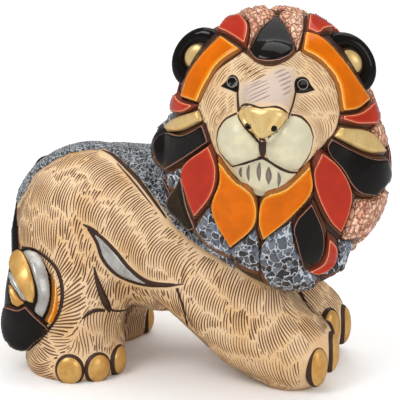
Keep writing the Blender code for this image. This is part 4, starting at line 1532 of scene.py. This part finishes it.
def makeFace():
    clay = Batch("depth", "pale")
    look = dict(face["look"], relief=faceRelief, values={"pale": patchShare})
    pad(clay, face["outline"], headSkin.thrown, look)
    finish("face", clay.mesh("face"), faceClay)
    ivory, black, gold, brown = Batch("depth"), Batch("depth"), Batch("depth"), Batch("depth")
    for outline in features["muzzle"]:
        pad(ivory, outline, onFace, featureLooks["muzzle"])
    pad(ivory, features["chin"], onFace, featureLooks["chin"])
    pad(gold, features["nose"], onFace, featureLooks["nose"])
    pad(brown, features["philtrum"], onFace, featureLooks["philtrum"])
    for outline in features["eyes"]:
        pad(black, outline, onFace, featureLooks["eyes"])
    for centre in features["nostrils"]:
        pad(black, roundOutline(centre, features["nostrilRadius"]), onFace, featureLooks["nostrils"])
    finish("muzzle", ivory.mesh("muzzle"), ivoryGlaze)
    finish("nose", gold.mesh("nose"), goldLustre)
    finish("eyes", deepGlaze(black.mesh("eyes")), blackGlaze)
    finish("philtrum", brown.mesh("philtrum"), grooveClay)
    look = faceStrokes["irises"]
    onEye = onHeight(onFace, featureLooks["eyes"]["height"] + look["over"])
    rings = [drawn(roundOutline(centre, features["irisRadius"]), onEye, step=look["step"], closed=True)
             for centre in features["iris"]]
    strokes("irises", rings, look, markStain)
    lines = [drawn(line, onFace, girths=inUnits(widths)) for line, widths in faceLines.values()]
    strokes("face_lines", lines, faceStrokes["lines"], grooveClay)
    hair = Comb(headSkin, combing, *faceGround(), mirrored=False).combed()
    strokes("face_hair", [raised(run) for run in hair], combing, tanStain)
    for name, stain in (("brown", strokeStain), ("mauve", mauveStain)):
        runs = [pointed(drawn(line, onFace)) for line in dashes[name]]
        strokes("dashes_" + name, runs, faceStrokes["dashes"], stain)
    look = faceStrokes["spindles"]
    onChin = onHeight(onFace, featureLooks["chin"]["height"] + look["over"])
    marks = []
    for x, top, bottom in spindles:
        run = drawn([(x, top), (x, (top + bottom) / 2), (x, bottom)], onChin, step=look["step"])
        marks.append(pointed(run, look["ends"]))
    strokes("whisker_marks", marks, look, markStain)


makeFace()


# Ears: a glossy ring each, with a lustred disc inside.
def ring(batch, placed, radius, rim, around=64, sides=24):
    points, faces = [], []
    for i in range(around):
        out = Vector((math.cos(math.tau * i / around), math.sin(math.tau * i / around), 0))
        here, after = i * sides, (i + 1) % around * sides
        for k in range(sides):
            turn, beside = math.tau * k / sides, (k + 1) % sides
            up = Vector((0, 0, rim * math.sin(turn)))
            points.append(placed @ (out * (radius + rim * math.cos(turn)) + up))
            faces.append([here + k, after + k, after + beside, here + beside])
    batch.add(points, faces)


def makeEars():
    rims = Batch("depth")
    places = {key: [] for key in ("plate", "bed", "disc")}
    for side in (-1, 1):
        x, y, z = earForms["at"]
        placed = head @ Matrix.Translation((side * x + earForms["shift"], y, z))
        placed @= Matrix.Rotation(math.radians(earForms["turn"]) * side, 4, "Y")
        placed @= Matrix.Rotation(math.radians(earForms["lean"]) * side, 4, "Z")
        placed @= Matrix.Diagonal((1, earForms["stretch"], 1, 1))
        ring(rims, placed, earForms["radius"], earForms["rim"])
        for key, run in places.items():
            centre, radii = earForms[key]
            run.append((placed @ Matrix.Translation((side * centre[0], *centre[1:])), radii))
    finish("ear_rings", deepGlaze(rims.mesh("ear_rings")), blackGlaze)
    balls("ear_plates", places["plate"], "black_glaze", blackGlaze)
    balls("ear_beds", places["bed"], "cream_bisque", grooveClay)
    balls("ear_discs", places["disc"], "gold_lustre", goldLustre)


makeEars()

# Claws, each in a brown bed.
clawBed = {"grow": 0.4, "back": 0.55}
balls("claws", claws, "gold_lustre", amberLustre)
balls("claw_beds", claws, "cream_bisque", grooveClay, **clawBed)

# The tail and its tuft of bands.
bands = {
    "red": [[(22, 208), (27, 212), (26, 246), (19, 250), (18, 230)]],
    "orange": [[
        (43.4, 257.9), (51, 261.7), (57.4, 271.9), (59.3, 284.6), (58.7, 301.2), (56.1, 312.7),
        (51, 321.6), (48.5, 324.8), (44, 319.7), (47.8, 311.4), (50.4, 300), (51, 288.5), (50.4, 278.3),
        (47.8, 268.1), (44.6, 260.4),
    ]],
    "silver": [
        [
            (22.3, 252.1), (30.6, 251.5), (39.5, 256.6), (44, 265.5), (47.8, 278.3), (49.1, 288.5),
            (48.5, 300), (45.3, 310.2), (41.5, 317.2), (34.4, 310.8), (37, 300), (36.4, 288.5),
            (33.2, 277), (30, 266.8), (25.5, 257.9),
        ],
        [
            (8.9, 270.6), (12.8, 271.9), (19.1, 282.1), (25.5, 293.6), (27.4, 301.2), (23, 300),
            (16.6, 291), (11.5, 282.1),
        ],
    ],
    "gold": [
        [
            (19.1, 250.8), (23, 252.8), (27.4, 260.4), (31.3, 271.9), (34.4, 284.6), (35.1, 294.8),
            (33.2, 303.1), (27.4, 301.2), (21.7, 291), (16.6, 282.1), (12.8, 273.2), (10.2, 266.8),
            (10.8, 260.4), (14, 254),
        ],
        [
            (9.6, 280.8), (14, 287.2), (20.4, 297.4), (25.5, 302.5), (19.1, 307), (14, 303.8),
            (10.8, 293.6),
        ],
    ],
    "black": [[
        (5.7, 303.8), (14, 306.3), (19.1, 307.6), (26.1, 303.8), (34.4, 312.7), (43.4, 321.6),
        (49.1, 328), (42.1, 335.7), (34.4, 342), (28, 348.4), (19.1, 349), (10.2, 344.6), (4.5, 334.4),
        (2.6, 322.9), (3.8, 311.4),
    ]],
}
bandLook = {"step": 0.45, "gap": 0.05, "base": 0.3, "height": 1.4, "edge": 1.0, "sunk": 2.0}
bandFinishes = {"red": ("red_glaze", redGlaze), "orange": ("orange_glaze", orangeGlaze),
                "silver": ("silver_lustre", silverLustre), "gold": ("gold_lustre", amberLustre),
                "black": ("black_glaze", blackGlaze)}
tuftGroove = (
    [
        (22, 247), (33, 249), (46, 257), (56, 268), (61.5, 283), (62, 300), (58, 315), (50, 328),
        (40, 340), (32, 347),
    ],
    (1.6, 2.2, 2.8, 3.0, 3.0, 3.0, 2.8, 2.4, 2.0, 1.4),
)
tuftGrooveLook = {"width": 1.2, "lift": 0.2, "depth": 0.9, "step": 3}


def makeTail():
    finish("tail", deepGlaze(tailSkin.mesh.copy()), blackGlaze)
    finish("tuft", deepGlaze(tuftSkin.mesh.copy()), blackGlaze)
    for name, outlines in bands.items():
        batch = Batch("depth")
        for outline in outlines:
            pad(batch, outline, (tailSkin if name == "red" else tuftSkin).thrown, bandLook)
        slot, material = bandFinishes[name]
        finish("tail_" + name, batch.mesh(name), material)
    line, widths = tuftGroove
    run = drawn(line, frontOf(tuftSkin, bodySkin), step=tuftGrooveLook["step"], girths=inUnits(widths))
    strokes("tuft_groove", [run], tuftGrooveLook, grooveClay)


makeTail()

# The lustred leaf on the flank, and the lines cut between the forms.
leafLook = {"step": 0.5, "gap": 0.45, "height": 0.9, "edge": 1.2, "sunk": 2.0}
leafBed = {"step": 0.6, "gap": -0.4, "height": 0.3, "edge": 0.3, "sunk": 2.0}
creaseLook = {"width": 1.0, "lift": 0.26, "depth": 0.8, "step": 3}
# Lines cut between the forms, with how wide each is at its points, in squares.
creases = [
    ([(94, 267), (96.5, 279), (100.5, 291), (105.5, 303), (110, 311)], (1.6, 4.0, 6.5, 8.0, 4.6)),
    ([(110, 310), (118, 311), (126, 310)], (2.0, 2.0, 1.4)),
    ([(82, 319), (88, 313.5), (96, 310), (105, 310.5)], (1.4, 3.6, 4.2, 2.4)),
    ([(177, 288), (181, 300), (185, 314), (189, 334), (194, 350)], (2.8, 2.4, 2.0, 1.6, 1.0)),
    (
        [(102, 150), (110, 153.6), (117.8, 159.6), (134, 175.2), (146, 190), (158, 206.5), (166, 218)],
        (1.4, 2.8, 3.8, 3.8, 3.4, 2.6, 1.4),
    ),
    ([(117, 163.4), (130, 178), (142, 192.6), (152.6, 206)], (1.0, 1.7, 1.7, 0.9)),
    ([(300, 292), (306, 303), (314, 313), (333, 320)], (3.6, 2.2, 1.4, 1.2)),
    ([(83, 224.5), (90, 228), (98, 233.5)], (1.4, 3.4, 3.4)),
    ([(150, 284), (166, 286), (182, 284)], (3.4, 2.6, 1.2)),
]


def makeFlank():
    silver, brown = Batch("depth"), Batch("depth")
    pad(silver, body["leaf"], bodySkin.thrown, leafLook)
    pad(brown, body["leaf"], bodySkin.thrown, leafBed)
    finish("flank_leaf", silver.mesh("flank_leaf"), silverLustre)
    finish("flank_bed", brown.mesh("flank_bed"), grooveClay)
    runs = [drawn(line, bodySkin.thrown, step=creaseLook["step"], girths=inUnits(widths))
            for line, widths in creases]
    strokes("creases", runs, creaseLook, grooveClay)


makeFlank()
print("face, ears, claws, tail and flank made")

# The stage: a pale floor and soft studio light, seen from where the sheet is seen.
# Sky and floor are dimmer where glazes mirror them.
studio = {
    "span": 124, "sensor": 36, "floorReach": 3.0, "sky": 0.9, "mirrored": 0.14, "floorMirrored": 0.3,
    "lights": [("key", (-0.35, -0.55, 0.75), 0.4, 3.0), ("fill", (0.65, -0.5, 0.35), 0.4, 1.0),
               ("top", (0.05, 0.25, 0.8), 0.7, 2.4)],
}


def makeStage():
    reach = studio["floorReach"]
    mesh = bpy.data.meshes.new("floor")
    corners = [(-reach, -reach, 0), (reach, -reach, 0), (reach, reach, 0), (-reach, reach, 0)]
    mesh.from_pydata(corners, [], [(0, 1, 2, 3)])
    floor = linked("floor", mesh)
    material, tree, shader = newMaterial("pale floor", {"Roughness": 0.6})
    tone = mixed(tree, ramp(tree, grain(tree, 0.02), 0.3, 0.7), (0.985, 0.985, 0.985), (0.965, 0.965, 0.965))
    dimmed = mixed(tree, 1.0, tone, (studio["floorMirrored"],) * 3, "MULTIPLY")
    glossy = node(tree, "ShaderNodeLightPath").outputs["Is Glossy Ray"]
    tree.links.new(mixed(tree, glossy, tone, dimmed), shader.inputs["Base Color"])
    mesh.materials.append(material)
    world = bpy.data.worlds.new("studio")
    world.use_nodes = True
    sky = world.node_tree.nodes["Background"]
    sky.inputs["Color"].default_value = (1, 1, 1, 1)
    mirrored = node(world.node_tree, "ShaderNodeLightPath").outputs["Is Glossy Ray"]
    less = studio["mirrored"] - studio["sky"]
    strength = maths(world.node_tree, "MULTIPLY_ADD", mirrored, less, studio["sky"])
    world.node_tree.links.new(strength, sky.inputs["Strength"])
    bpy.context.scene.world = world
    middle = toMetres @ sheetMiddle
    for name, place, size, power in studio["lights"]:
        light = bpy.data.lights.new(name, "AREA")
        light.shape, light.size, light.energy = "SQUARE", size, power
        made = linked(name, light)
        made.location = place
        made.rotation_euler = (middle - Vector(place)).to_track_quat("-Z", "Y").to_euler()
    camera = bpy.data.cameras.new("camera")
    camera.sensor_width = studio["sensor"]
    camera.lens = studio["sensor"] * sheet["away"] / studio["span"]
    camera.clip_end = 10
    seen = linked("camera", camera)
    seen.location = toMetres @ eye
    seen.rotation_euler = sheetBack.to_track_quat("Z", "Y").to_euler()
    bpy.context.scene.camera = seen
    bpy.context.scene.view_settings.view_transform = "Standard"


makeStage()
